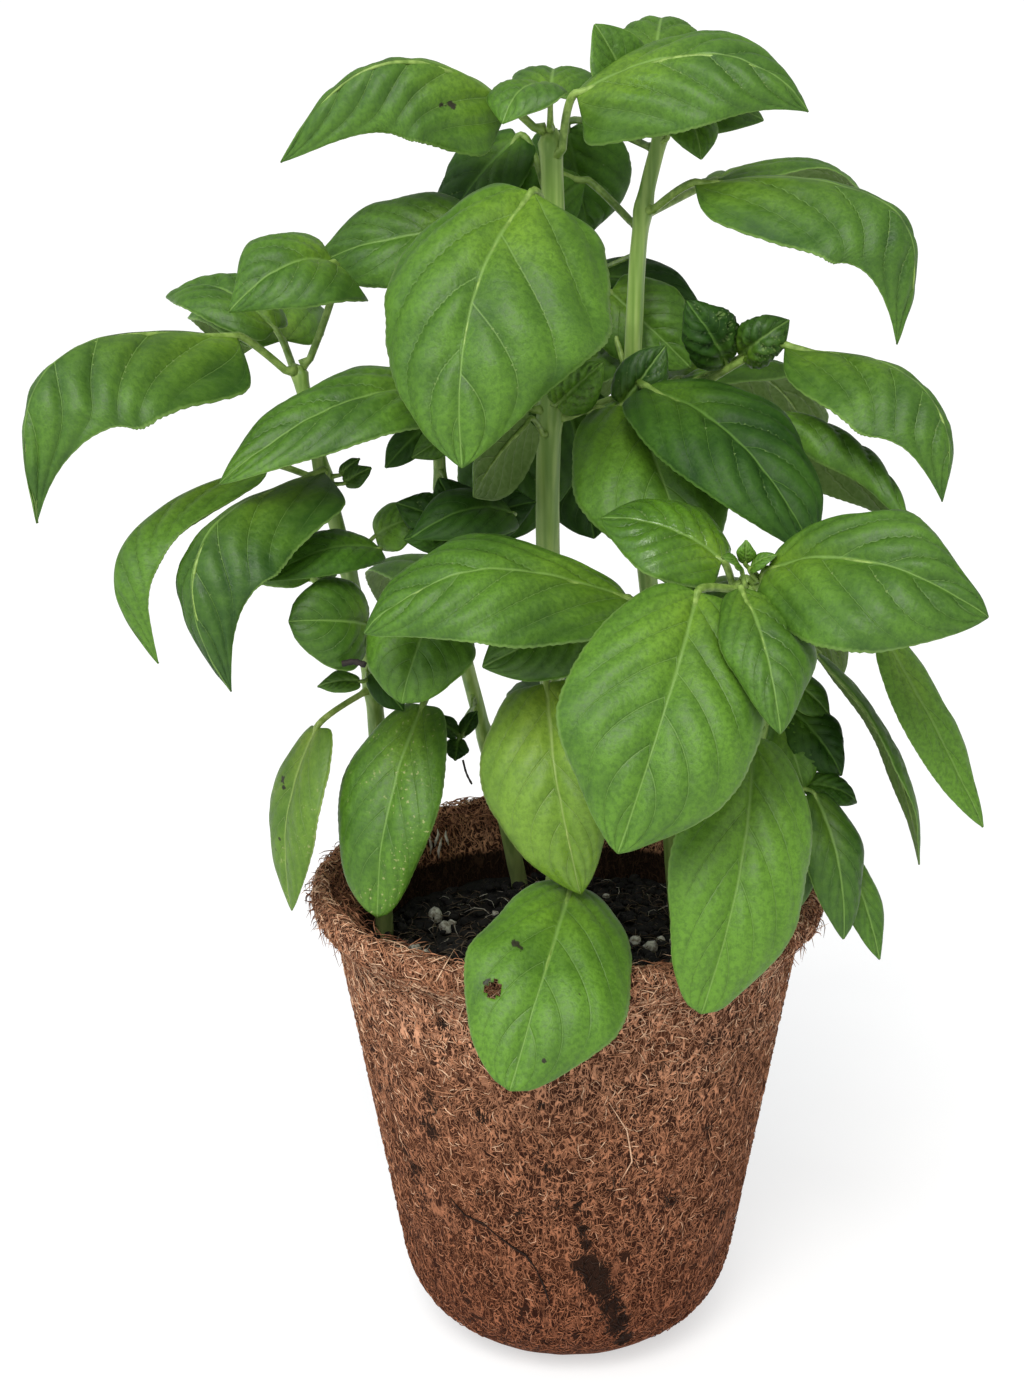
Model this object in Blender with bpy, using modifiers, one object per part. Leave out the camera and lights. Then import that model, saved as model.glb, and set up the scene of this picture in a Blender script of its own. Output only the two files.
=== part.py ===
"""Potted basil plant: a turned coir pot, potting soil, six stems and their leaves.

Blender 4.5, metres, +Z up.  The origin is the centre of the pot's flat base.
The plant's own places and sizes are given in millimetres and turned into metres
as each piece is made.
"""

import math

import bmesh
import bpy
from mathutils import Vector

MM = 0.001

# Pot: a straight tapering wall with a flared lip and a wide rounded foot.
POT_HEIGHT = 134.5
LIP_RADIUS = 70.0
NECK_RADIUS = 63.5
NECK_HEIGHT = 121.7
FOOT_RADIUS = 42.0
FOOT_ROUND = 29.0
WALL = 4.5
POT_STEPS = 40

# Soil: fills the pot to about 22 mm below the lip.
SOIL_TOP = 112.0
SOIL_EDGE = 110.0
SOIL_GAP = 0.3
SOCKET_DEPTH = 6.0
SOCKET_GAP = 0.4

# Leaves and their stalks.
LEAF_THICK = 0.8
STALK_WIDTH = 2.2
STALK_THICK = 1.8
STALK_ROWS = 3
BLADE_ROWS = 7
BLADE_COLUMNS = 4
STALK_GAP = 0.5
STALK_COLLAR = 1.5
TIP_HALF_WIDTH = 0.5

# Stems: sides of the tube, and points from one hand-set point to the next.
STEM_SIDES_RESOLUTION = 2
STEM_STEPS = 2


# --- scene and helpers -----------------------------------------------------

for old in list(bpy.data.objects):
    bpy.data.objects.remove(old, do_unlink=True)

plant = bpy.data.collections.new("potted_basil")
bpy.context.scene.collection.children.link(plant)
cutters = bpy.data.collections.new("cutters")
bpy.context.scene.collection.children.link(cutters)


def make_material(name, color, roughness):
    """A plain Principled material."""
    material = bpy.data.materials.new(name)
    material.use_nodes = True
    shader = material.node_tree.nodes["Principled BSDF"]
    shader.inputs["Base Color"].default_value = (*color, 1.0)
    shader.inputs["Roughness"].default_value = roughness
    shader.inputs["Metallic"].default_value = 0.0
    return material


def add_object(name, data, material, collection=plant):
    """Links a new object that carries one material."""
    made = bpy.data.objects.new(name, data)
    collection.objects.link(made)
    data.materials.append(material)
    return made


def turned(name, profile, material):
    """A profile of (radius, height) pairs in millimetres, turned about Z."""
    mesh = bpy.data.meshes.new(name)
    rim = bmesh.new()
    points = [rim.verts.new((radius * MM, 0.0, height * MM)) for radius, height in profile]
    for start, end in zip(points, points[1:]):
        rim.edges.new((start, end))
    rim.to_mesh(mesh)
    rim.free()
    made = add_object(name, mesh, material)
    screw = made.modifiers.new("turn", "SCREW")
    screw.angle = math.tau
    screw.steps = POT_STEPS
    screw.render_steps = POT_STEPS
    screw.use_merge_vertices = True
    screw.merge_threshold = 0.00001
    screw.use_smooth_shade = True
    return made


# --- pot and soil ----------------------------------------------------------

WALL_TILT = math.atan2(NECK_RADIUS - FOOT_RADIUS, NECK_HEIGHT)
FLAT_RADIUS = FOOT_RADIUS - FOOT_ROUND / math.tan((math.pi / 2 + WALL_TILT) / 2)


def foot_arc(inset, steps):
    """The rounded foot, set in from the outer face, from the base up to the wall."""
    arc = []
    for step in range(steps + 1):
        angle = -math.pi / 2 + (math.pi / 2 - WALL_TILT) * step / steps
        radius = FOOT_ROUND - inset
        arc.append((FLAT_RADIUS + radius * math.cos(angle), FOOT_ROUND + radius * math.sin(angle)))
    return arc


def wall_radius(height, inset):
    """Radius of the straight wall at a height, set in from the outer face."""
    return FOOT_RADIUS + height * math.tan(WALL_TILT) - inset / math.cos(WALL_TILT)


def make_pot():
    """Pressed coir pot: one closed section, turned."""
    inside = [(0.0, WALL)] + foot_arc(WALL, 4)
    inside += [(wall_radius(height, WALL), height) for height in (70.0, NECK_HEIGHT)]
    lip = [
        (LIP_RADIUS - 7.5, POT_HEIGHT - 7.0),
        (LIP_RADIUS - 5.0, POT_HEIGHT - 1.8),
        (LIP_RADIUS - 3.2, POT_HEIGHT),
        (LIP_RADIUS - 1.0, POT_HEIGHT - 0.8),
        (LIP_RADIUS, POT_HEIGHT - 4.0),
        (LIP_RADIUS - 0.8, POT_HEIGHT - 8.0),
        (NECK_RADIUS + 1.2, NECK_HEIGHT + 1.2),
    ]
    outside = [(wall_radius(height, 0.0), height) for height in (NECK_HEIGHT - 3.0, 70.0)]
    outside += list(reversed(foot_arc(0.0, 5))) + [(0.0, 0.0)]
    return turned("coir_pot", inside + lip + outside, make_material("coir", (0.30, 0.15, 0.075), 0.95))


def make_soil():
    """Potting soil, a little clear of the pot all round."""
    inset = WALL + SOIL_GAP
    side = [(wall_radius(height, inset), height) for height in (SOIL_EDGE, 70.0)]
    profile = [(0.0, SOIL_TOP), (25.0, SOIL_TOP - 0.2), (46.0, SOIL_TOP - 0.9)] + side
    profile += list(reversed(foot_arc(inset, 4))) + [(0.0, WALL + SOIL_GAP)]
    return turned("potting_soil", profile, make_material("soil", (0.025, 0.018, 0.014), 1.0))


# --- stems -----------------------------------------------------------------

def smooth_route(points):
    """A Catmull-Rom curve through the hand-set points."""
    padded = [points[0] * 2 - points[1]] + points + [points[-1] * 2 - points[-2]]
    route = []
    for before, start, end, after in zip(padded, padded[1:], padded[2:], padded[3:]):
        for step in range(STEM_STEPS):
            t = step / STEM_STEPS
            route.append(0.5 * (2 * start + (end - before) * t
                                + (2 * before - 5 * start + 4 * end - after) * t ** 2
                                + (3 * start - before - 3 * end + after) * t ** 3))
    route.append(points[-1])
    return route


class Stem:
    """A tapering stem that stands in a socket in the soil."""

    def __init__(self, name, soil, foot_radius, top_radius, places):
        foot = Vector(places[0])
        self.route = [foot + Vector((0, 0, SOIL_TOP - SOCKET_DEPTH - foot.z))]
        self.route += smooth_route([Vector(place) for place in places])
        self.foot_radius = foot_radius
        self.top_radius = top_radius
        curve = bpy.data.curves.new(name, "CURVE")
        curve.dimensions = "3D"
        curve.bevel_depth = MM
        curve.bevel_resolution = STEM_SIDES_RESOLUTION
        curve.use_fill_caps = True
        line = curve.splines.new("POLY")
        line.points.add(len(self.route) - 1)
        for index, (knot, place) in enumerate(zip(line.points, self.route)):
            knot.co = (*(place * MM), 1.0)
            knot.radius = self.radius(index)
        add_object(name, curve, make_material(name + "_green", (0.22, 0.30, 0.06), 0.6))
        self.cut_socket(name, soil)

    def radius(self, index):
        share = index / (len(self.route) - 1)
        return self.foot_radius + (self.top_radius - self.foot_radius) * share

    def cut_socket(self, name, soil):
        """A round hole in the soil for the foot of the stem."""
        foot = self.route[0]
        depth = SOCKET_DEPTH + SOCKET_GAP + 4.0
        bpy.ops.mesh.primitive_cylinder_add(vertices=16, radius=(self.foot_radius + SOCKET_GAP) * MM,
                                            depth=depth * MM)
        hole = bpy.context.object
        hole.name = name + "_socket"
        hole.location = (foot.x * MM, foot.y * MM, (foot.z - SOCKET_GAP + depth / 2) * MM)
        hole.hide_render = True
        hole.display_type = "WIRE"
        for home in list(hole.users_collection):
            home.objects.unlink(hole)
        cutters.objects.link(hole)
        cut = soil.modifiers.new(name + "_socket", "BOOLEAN")
        cut.operation = "DIFFERENCE"
        cut.object = hole

    def at(self, height):
        """The centre, radius and direction of the stem at a height."""
        above = next((i for i, place in enumerate(self.route) if place.z >= height), len(self.route) - 1)
        start, end = self.route[above - 1], self.route[above]
        share = min((height - start.z) / (end.z - start.z), 1.0)
        radius = self.radius(above - 1) * (1 - share) + self.radius(above) * share
        return start.lerp(end, share), radius, (end - start).normalized()


# --- leaves ----------------------------------------------------------------

def outline(s, widest, blunt):
    """Half-width of a basil leaf, 0 to 1, along its midrib from foot to tip."""
    power = math.log(0.5) / math.log(widest)
    return math.sin(math.pi * min(s, 1.0) ** power) ** (blunt + (0.75 - blunt) * s) if s < 1.0 else 0.0


def half_section(v, fold, curl):
    """Across and up, for v half-widths from the midrib: an arc that starts at
    the angle fold and turns down by curl on its way to the margin."""
    start = math.radians(fold)
    turn = math.radians(max(curl, 1.0))
    across = (math.sin(start) - math.sin(start - turn * v)) / turn
    up = (math.cos(start - turn * v) - math.cos(start)) / turn
    return across, up


def both(value):
    """A pair for the left and right half of a leaf."""
    return value if isinstance(value, tuple) else (value, value)


def grow(name, stem, height, foot, tip, face, width=40, arch=6, bend=0.5, sway=0, fold=20, curl=60,
         lean=0, widest=0.42, blunt=0.6, lobe=0.1, tone=0.5):
    """One leaf with its stalk, as a single closed sheet.

    The blade runs from foot to tip with its upper side towards face.  Its
    midrib stands arch above the straight line, most at bend, and sways to the
    right.  lean widens the right half, lobe draws the base back past the foot.
    """
    foot, tip, face = Vector(foot), Vector(tip), Vector(face)
    chord = tip - foot
    along = chord.normalized()
    up = (face - face.dot(along) * along).normalized()
    right = along.cross(up)
    middle = foot + bend * chord + 2 * arch * up + 2 * sway * right
    folds, curls = both(fold), both(curl)

    socket, stem_radius, upward = stem.at(height)
    outward = foot - socket
    outward = (outward - outward.dot(upward) * upward).normalized()
    start = socket + outward * (stem_radius + STALK_GAP)
    collar = start + outward * STALK_COLLAR
    knee = foot - (middle - foot).normalized() * (foot - collar).length * 0.5

    sheet = bmesh.new()
    rows = STALK_ROWS + BLADE_ROWS
    bmesh.ops.create_grid(sheet, x_segments=BLADE_COLUMNS, y_segments=rows, size=1.0)
    stalk_points = []
    for vertex in sheet.verts:
        v = vertex.co.x
        row = round((vertex.co.y + 1) / 2 * rows)
        if row == 0:
            t, first, second, third, s = 0.0, start, collar, collar + outward, 0.0
        elif row < STALK_ROWS:
            t, first, second, third, s = (row - 1) / (STALK_ROWS - 1), collar, knee, foot, 0.0
        else:
            s = ((row - STALK_ROWS) / BLADE_ROWS) ** 1.35
            t, first, second, third = s, foot, middle, tip
        centre = (1 - t) ** 2 * first + 2 * t * (1 - t) * second + t ** 2 * third
        tangent = (2 * (1 - t) * (second - first) + 2 * t * (third - second)).normalized()
        normal = (up - up.dot(tangent) * tangent).normalized()
        across = tangent.cross(normal)
        side = 1 if v > 0 else 0
        half = width / 2 * outline(s, widest, blunt) * (1 + math.copysign(lean, v) if v else 1)
        half = max(half, STALK_WIDTH / 2 if s < 0.5 else TIP_HALF_WIDTH)
        out, lift = half_section(abs(v), folds[side], curls[side])
        swept = lobe * width * abs(v) ** 1.5 * (1 - s) ** 5 if s > 0 else 0.0
        vertex.co = (centre + across * math.copysign(out * half, v) + normal * lift * half
                     - tangent * swept) * MM
        if s == 0.0:
            stalk_points.append(vertex.index)
    mesh = bpy.data.meshes.new(name)
    sheet.to_mesh(mesh)
    sheet.free()
    green = (0.07 + 0.10 * tone, 0.16 + 0.20 * tone, 0.03)
    leaf = add_object(name, mesh, make_material(name + "_green", green, 0.5))
    leaf.vertex_groups.new(name="stalk").add(stalk_points, 1.0, "REPLACE")
    skin = leaf.modifiers.new("thickness", "SOLIDIFY")
    skin.thickness = STALK_THICK * MM
    skin.vertex_group = "stalk"
    skin.thickness_vertex_group = LEAF_THICK / STALK_THICK
    skin.offset = 0.0
    mesh.shade_smooth()
    return leaf


# --- the plant -------------------------------------------------------------

make_pot()
soil = make_soil()

left = Stem("stem_left", soil, 2.4, 1.8,
            [(-51, 12, 113), (-51, 6, 160), (-52, -2, 190), (-57, -8, 222), (-63, -11, 250), (-68, -12, 276)])
back = Stem("stem_back_left", soil, 2.3, 1.5,
            [(-13, 48, 113), (-20, 40, 150), (-30, 24, 200), (-33, 8, 240), (-33, -2, 262)])
middle = Stem("stem_middle", soil, 3.4, 2.8,
              [(2, 14, 113), (-3, 10, 170), (-5, 3, 236), (-3, 0, 290), (-4, 0, 333)])
right = Stem("stem_right", soil, 2.7, 1.9,
             [(32, 17, 113), (26, 14, 180), (18, 10, 250), (18, 9, 290), (20, 9, 313), (25, 9, 334)])
rosette = Stem("stem_rosette", soil, 2.6, 2.2,
               [(30, -14, 113), (38, -24, 145), (47, -38, 185), (46, -50, 213), (41, -58, 232)])
front = Stem("stem_front", soil, 2.4, 2.0,
             [(-2, -22, 113), (-4, -26, 150), (-5, -28, 185), (-4, -30, 213)])

# Top of the middle stem.
grow("leaf_top_left", middle, 333, (-14, -5, 339), (-70, -20, 327), (0, -0.3, 0.95),
     width=42, arch=19, fold=(-50, -25), curl=20, widest=0.34, blunt=0.45)
grow("leaf_top_right", middle, 327, (2, -8, 342), (58, -20, 338), (0.05, -0.3, 0.95),
     width=44, arch=15, bend=0.64, fold=(0, -40), curl=25, widest=0.33, blunt=0.4)
grow("leaf_top_front_small", middle, 333, (-5, -10, 344), (-16, -24, 336), (-0.3, -0.5, 0.8),
     width=22, arch=4, fold=10, curl=40)

# Top of the right stem.
grow("leaf_crown_back", right, 334, (22, 13, 341), (28, 58, 346), (0, -0.3, 1),
     width=30, arch=15, fold=0, curl=60)
grow("leaf_crown_front", right, 329, (29, 3, 338), (33, -10, 326), (0.1, -0.5, 0.7),
     width=15, arch=3, fold=5, curl=40, tone=0.7)
grow("leaf_crown_right", right, 334, (29, 14, 337), (50, 8, 334), (0.1, -0.6, 0.7),
     width=18, arch=3, fold=5, curl=40)
grow("leaf_right_upper", right, 312, (32, -5, 320), (80, -30, 283), (0.75, -0.3, 0.6),
     width=46, arch=29, bend=0.6, fold=(-28, -45), curl=20, lean=0.2, widest=0.48)
grow("leaf_crown_left", right, 308, (9, 9, 320), (-24, 22, 318), (0, -0.2, 1),
     width=42, arch=5, fold=(-60, -20), curl=20, tone=0.2)
grow("leaf_back_crown", right, 300, (40, 30, 308), (86, 70, 286), (0, 0.3, 1),
     width=42, arch=12, tone=0.5)

# Behind the middle stem.
grow("leaf_shade_back", right, 327, (1, 38, 330), (7, 46, 301), (0, -0.9, 0.3),
     width=32, arch=4, tone=0.15)
grow("leaf_shade_left", middle, 318, (-12, 16, 330), (-33, 16, 297), (-0.6, -0.6, 0.4),
     width=30, arch=5, tone=0.15)
grow("leaf_front_big", middle, 300, (-9, -25, 320), (-26, -62, 260), (-0.1, -0.8, 0.6),
     width=60, arch=11, sway=5, lean=-0.15, blunt=0.35, fold=5, curl=50, tone=0.7, lobe=0.25)
grow("leaf_upper_left_back", middle, 290, (-22, -4, 308), (-65, 1, 299), (0, -0.8, 0.6),
     width=28, arch=6, tone=0.5)

# Middle stem, lower node.
grow("leaf_left_mid", middle, 262, (-25, -10, 269), (-85, -45, 253), (0, -0.4, 0.9),
     width=32, arch=10)
grow("leaf_centre_cup", middle, 260, (15, 0, 265), (32, -44, 223), (-0.1, -0.6, 0.8),
     width=40, lean=0.15, arch=8, tone=0.6)
grow("leaf_shade_under_left", middle, 258, (-8, 12, 262), (-20, 18, 222), (0, -1, 0.2),
     width=34, arch=2, tone=0.1)
grow("leaf_shade_under_right", right, 250, (1, 22, 260), (8, 24, 222), (0, -1, 0.2),
     width=34, arch=2, tone=0.1)
grow("leaf_back_middle", middle, 262, (0, 14, 268), (5, 75, 245), (0, 0.3, 1),
     width=44, arch=14, tone=0.5)

# Right side.
grow("leaf_behind_right_dark", right, 300, (4, 42, 289), (39, 38, 279), (0, -0.6, 0.8),
     width=22, arch=8, tone=0.1)
grow("leaf_behind_right_light", right, 268, (12, 24, 289), (33, 16, 270), (0.2, -0.95, 0.1),
     width=26, arch=2, tone=0.7)
grow("leaf_right_mid", right, 256, (55, -10, 280), (91, -40, 246), (0.75, -0.35, 0.6),
     width=42, arch=22, fold=(-28, -40), curl=20, lean=0.2, widest=0.48, bend=0.58)
grow("leaf_right_lower_mid", right, 250, (43, -10, 263), (85, -34, 238), (0.2, 0.75, 0.6),
     width=36, arch=11, fold=(0, 0), curl=(20, 150))
grow("leaf_centre_right_dark", right, 270, (20, -12, 270), (59, -50, 235), (0.2, -0.6, 0.8),
     width=34, lean=0.05, arch=10, tone=0.25)
grow("leaf_back_right", right, 262, (30, 22, 266), (72, 62, 240), (0.2, 0.3, 1),
     width=42, arch=12, tone=0.5)

# Left stem.
grow("leaf_far_left_big", left, 275, (-82, -20, 285), (-127, -60, 247), (-0.65, -0.35, 0.65),
     width=60, arch=30, blunt=0.45, fold=(-50, -35), curl=20, lean=-0.22, widest=0.48)
grow("leaf_behind_far_left", left, 275, (-74, -4, 284), (-104, 16, 290), (0, -0.3, 0.95),
     width=26, arch=7)
grow("leaf_left_top_front", left, 276, (-58, -14, 303), (-82, -28, 289), (0.2, -0.5, 0.8),
     width=30, arch=7, blunt=0.3, widest=0.3, lobe=0.25)
grow("leaf_left_long", left, 248, (-77, -12, 251), (-106, -46, 207), (-0.85, -0.2, 0.45),
     width=30, arch=26, fold=-30, curl=20)
grow("leaf_left_dark_big", left, 246, (-62, -20, 251), (-87, -57, 203), (-0.65, -0.4, 0.65),
     width=42, arch=29, fold=(-40, -20), curl=20, blunt=0.45, lobe=0.2)
grow("leaf_left_inner", left, 225, (-48, -18, 230), (-76, -38, 227), (0, -0.5, 0.8),
     width=18, arch=5, tone=0.3)
grow("leaf_left_low_front", left, 205, (-51, -26, 212), (-70, -40, 217), (0, -0.9, 0.4),
     width=26, arch=4, tone=0.4)
grow("leaf_spotted", left, 188, (-66, -14, 181), (-73, -28, 135), (-0.85, -0.5, 0.4),
     width=28, arch=5, tone=0.8)
grow("leaf_back_left_top", left, 266, (-74, 16, 278), (-92, 60, 266), (-0.1, 0.3, 1),
     width=40, arch=13, tone=0.5)
grow("leaf_back_left_low", left, 205, (-68, 14, 214), (-97, 52, 194), (-0.3, 0.3, 1),
     width=34, arch=10, tone=0.4)

# Back-left stem.
grow("leaf_low_left_broad", back, 195, (-38, -14, 187), (-50, -38, 137), (-0.3, -0.8, 0.45),
     width=30, lean=0.1, arch=8, widest=0.45, tone=0.6)
grow("leaf_curl_left", back, 240, (-14, -14, 238), (-40, -28, 235), (0, -0.6, 0.8),
     width=20, arch=6, tone=0.1)
grow("leaf_back_low", back, 200, (-28, 36, 206), (-48, 92, 178), (0, 0.3, 1),
     width=42, arch=13, tone=0.4)
grow("leaf_back_over_rim", back, 160, (-6, 50, 166), (12, 98, 142), (0, 0.3, 1),
     width=36, arch=12, tone=0.3)

# Front stem.
grow("leaf_inner_hanging", front, 208, (-34, -30, 219), (-42, -48, 198), (-0.1, -0.9, 0.3),
     width=30, arch=4, tone=0.3)
grow("leaf_horizontal_light", front, 212, (14, -46, 224), (-50, -62, 220), (0, -0.35, 0.93),
     width=42, arch=14, bend=0.65, fold=(-10, 5), curl=(40, 30), tone=0.75)
grow("leaf_yellow_centre", front, 200, (-6, -35, 199), (2, -58, 151), (-0.2, -0.9, 0.4),
     width=36, lean=0.15, blunt=0.5, arch=8, tone=0.9)
grow("leaf_low_front", front, 140, (0, -49, 150), (-16, -92, 114), (0, -0.85, 0.5),
     width=44, lean=-0.06, widest=0.5, arch=9)

# Front right stem, the rosette.
grow("leaf_rosette_left", rosette, 229, (36, -57, 236), (7, -50, 245), (-0.1, -0.35, 0.9),
     width=30, arch=4, fold=(0, 10), curl=40, tone=0.6)
grow("leaf_rosette_right", rosette, 230, (46, -62, 235), (94, -88, 230), (0.1, -0.7, 0.7),
     width=44, widest=0.48, lean=0.15, arch=12)
grow("leaf_rosette_front", rosette, 231, (29, -72, 232), (9, -108, 179), (-0.1, -0.8, 0.6),
     width=50, arch=12, widest=0.5, tone=0.6)
grow("leaf_rosette_lower", rosette, 220, (41, -66, 229), (45, -84, 203), (0.3, -0.8, 0.5),
     width=28, lean=-0.3, arch=4)
grow("leaf_lower_right_front", rosette, 190, (46, -58, 192), (35, -88, 132), (0.2, -0.9, 0.35),
     width=38, lean=0.1, widest=0.52, arch=10)
grow("leaf_right_edge", rosette, 200, (63, -30, 205), (89, -42, 152), (0.9, 0.1, 0.4),
     width=24, arch=6)
grow("leaf_right_hanging", rosette, 215, (78, -40, 212), (103, -50, 165), (0.5, -0.7, 0.5),
     width=16, arch=1, tone=0.4)
grow("leaf_right_low", rosette, 170, (62, -38, 170), (69, -50, 135), (0.4, -0.9, 0.3),
     width=18, arch=5, tone=0.4)
grow("leaf_back_right_low", right, 200, (36, 28, 206), (82, 60, 172), (0.2, 0.3, 1),
     width=38, arch=12, tone=0.4)
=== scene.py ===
import itertools
import math

import bmesh
import bpy
import numpy as np
from mathutils import Matrix, Vector, noise


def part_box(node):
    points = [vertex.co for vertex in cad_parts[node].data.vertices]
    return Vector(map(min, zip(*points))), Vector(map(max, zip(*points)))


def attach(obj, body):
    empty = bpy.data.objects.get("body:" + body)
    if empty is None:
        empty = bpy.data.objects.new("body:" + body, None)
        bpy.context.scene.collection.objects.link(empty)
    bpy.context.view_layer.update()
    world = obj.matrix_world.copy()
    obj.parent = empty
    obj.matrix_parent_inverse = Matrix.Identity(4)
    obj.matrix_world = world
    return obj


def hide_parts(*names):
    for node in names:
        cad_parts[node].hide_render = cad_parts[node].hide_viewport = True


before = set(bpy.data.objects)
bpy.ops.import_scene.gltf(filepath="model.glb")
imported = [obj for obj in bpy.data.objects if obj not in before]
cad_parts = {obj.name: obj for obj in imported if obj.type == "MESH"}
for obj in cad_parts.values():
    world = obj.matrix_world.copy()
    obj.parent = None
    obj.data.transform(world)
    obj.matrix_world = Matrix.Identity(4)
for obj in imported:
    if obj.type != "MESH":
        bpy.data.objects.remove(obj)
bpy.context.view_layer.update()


# ---------------------------------------------------------------------------
# The pot.  Coconut fibre, pressed hot in a mould with a little latex: a felt
# wall 4 to 5 mm thick, a lip that flares and frays, and a rounded foot.
# ---------------------------------------------------------------------------

MM = 0.001
pot_low, pot_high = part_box("coir_pot")
LIP_RADIUS = (pot_high[0] - pot_low[0]) / 2 / MM
POT_HEIGHT = (pot_high[2] - pot_low[2]) / MM
NECK_RADIUS = 63.5
NECK_HEIGHT = 121.7
FOOT_RADIUS = 42.0
FOOT_ROUND = 29.0
WALL = 4.5
POT_ROUND_STEPS = 190
ROW_STEP = 1.9
FRAYED_FROM = 117.0
FRAYED_OVER = 12.0
RUSTY_BELOW = 98.0
RUST_SHARE = 0.85
RUST_TINT = (0.52, 0.35, 0.30, 1.0)
# Painted shade inside the pot: the inner wall darkens below this height, fully this many mm further down.
INNER_SHADE_BELOW = 134.0
INNER_SHADE_OVER = 8.0
WALL_TILT = math.atan2(NECK_RADIUS - FOOT_RADIUS, NECK_HEIGHT)
FLAT_RADIUS = FOOT_RADIUS - FOOT_ROUND / math.tan((math.pi / 2 + WALL_TILT) / 2)


def new_material(name):
    """An empty node material, and its output."""
    material = bpy.data.materials.new(name)
    material.use_nodes = True
    tree = material.node_tree
    tree.nodes.clear()
    return material, tree, tree.nodes.new("ShaderNodeOutputMaterial")


def node(tree, kind, settings=None, **inputs):
    """A shader node.  An input, named or given by its number as i0, is a value or another node's socket."""
    made = tree.nodes.new("ShaderNode" + kind)
    for key, value in (settings or {}).items():
        setattr(made, key, value)
    for key, value in inputs.items():
        numbered = key[0] == "i" and key[1:].isdigit()
        socket = made.inputs[int(key[1:]) if numbered else key.replace("_", " ")]
        if isinstance(value, bpy.types.NodeSocket):
            tree.links.new(value, socket)
        else:
            socket.default_value = value
    return made


def mixed(tree, share, first, second, blend="MIX"):
    """One colour turned into another, by share."""
    made = node(tree, "Mix", {"data_type": "RGBA", "blend_type": blend, "clamp_factor": True},
                i0=share, i6=first, i7=second)
    return made.outputs[2]


def sums(tree, operation, first, second=0.0, clamp=False):
    """A Math node."""
    made = node(tree, "Math", {"operation": operation, "use_clamp": clamp}, i0=first, i1=second)
    return made.outputs[0]


def ramped(tree, value, low, high, at_low=0.0, at_high=1.0):
    """A smooth step of value from low to high."""
    made = node(tree, "MapRange", {"interpolation_type": "SMOOTHSTEP"},
                i0=value, i1=low, i2=high, i3=at_low, i4=at_high)
    return made.outputs[0]


def foot_arc(inset, steps):
    """The rounded foot in section, from the flat base up to the wall."""
    arc = []
    for step in range(steps + 1):
        angle = -math.pi / 2 + (math.pi / 2 - WALL_TILT) * step / steps
        radius = FOOT_ROUND - inset
        arc.append((FLAT_RADIUS + radius * math.cos(angle), FOOT_ROUND + radius * math.sin(angle)))
    return arc


def wall_radius(height, inset=0.0):
    """Radius of the straight wall at a height."""
    return FOOT_RADIUS + height * math.tan(WALL_TILT) - inset / math.cos(WALL_TILT)


def stepped(section, step):
    """A section line cut into even steps."""
    line = np.array(section, float)
    run = np.concatenate([[0.0], np.cumsum(np.linalg.norm(np.diff(line, axis=0), axis=1))])
    places = np.linspace(0.0, run[-1], max(2, int(run[-1] / step)))
    return np.stack([np.interp(places, run, line[:, 0]), np.interp(places, run, line[:, 1])], axis=1)


LIP = [(LIP_RADIUS - 7.5, POT_HEIGHT - 7.0), (LIP_RADIUS - 5.4, POT_HEIGHT - 2.2),
       (LIP_RADIUS - 3.4, POT_HEIGHT - 0.6), (LIP_RADIUS - 1.6, POT_HEIGHT - 1.4),
       (LIP_RADIUS - 0.6, POT_HEIGHT - 4.0), (LIP_RADIUS - 1.2, POT_HEIGHT - 8.0),
       (NECK_RADIUS + 1.4, NECK_HEIGHT + 1.4)]
INSIDE = [(0.6, WALL)] + foot_arc(WALL, 8) + [(wall_radius(NECK_HEIGHT, WALL), NECK_HEIGHT)]
OUTSIDE = [(wall_radius(NECK_HEIGHT - 3.0), NECK_HEIGHT - 3.0)] + foot_arc(0.0, 10)[::-1] + [(0.6, 0.0)]

# Peat stains and scorched spots: degrees round from the front, height, size in mm, darkness.
STAINS = [(5, 42, 3, 1.0), (8, 37, 4, 1.0), (11, 32, 3, 1.0), (13, 27, 4, 1.0), (16, 21, 4, 1.0),
          (20, 14, 3, 1.0), (2, 42, 2, 0.9), (-40, 88, 4, 0.6), (-44, 81, 3, 0.7), (-41, 78, 3, 0.7),
          (-53, 62, 4, 0.6), (-50, 56, 3, 0.6), (-57, 67, 3, 0.5), (35, 106, 2, 0.6), (22, 102, 4, 0.4),
          (35, 88, 6, 0.4), (40, 78, 5, 0.4), (12, 70, 3, 0.5), (30, 60, 4, 0.5), (-24, 88, 2, 1.0),
          (-32, 113, 2, 0.9), (-10, 79, 1.2, 0.9), (-7, 74, 2, 1.0), (-15, 58, 1.6, 1.0), (-4, 62, 1.6, 0.9),
          (2, 61, 1.6, 1.0), (3, 54, 2, 1.0), (4, 49, 1.6, 1.0), (-8, 93, 1.2, 0.9), (-27, 63, 1.2, 0.8),
          (48, 92, 5, 0.4), (55, 45, 6, 0.4), (110, 80, 9, 0.4), (150, 50, 7, 0.5), (-120, 90, 8, 0.5),
          (-95, 40, 9, 0.4), (-160, 70, 6, 0.6), (175, 30, 9, 0.5), (80, 100, 6, 0.4), (-75, 100, 6, 0.4)]


def stain_at(turn, height):
    """How dark the felt is, 0 to 1, at degrees round from the front and a height."""
    dark = np.zeros_like(height)
    for angle, level, size, depth in STAINS:
        away = (turn - angle + 180.0) % 360.0 - 180.0
        across = np.radians(away) * wall_radius(level)
        dark = np.maximum(dark, depth * np.exp(-(across ** 2 + ((height - level) * 0.8) ** 2) / size ** 2))
    return dark


def set_attribute(mesh, name, values):
    """A vector for each vertex, which the material reads."""
    mesh.attributes.new(name, "FLOAT_VECTOR", "POINT").data.foreach_set("vector", np.ravel(values))


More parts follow.
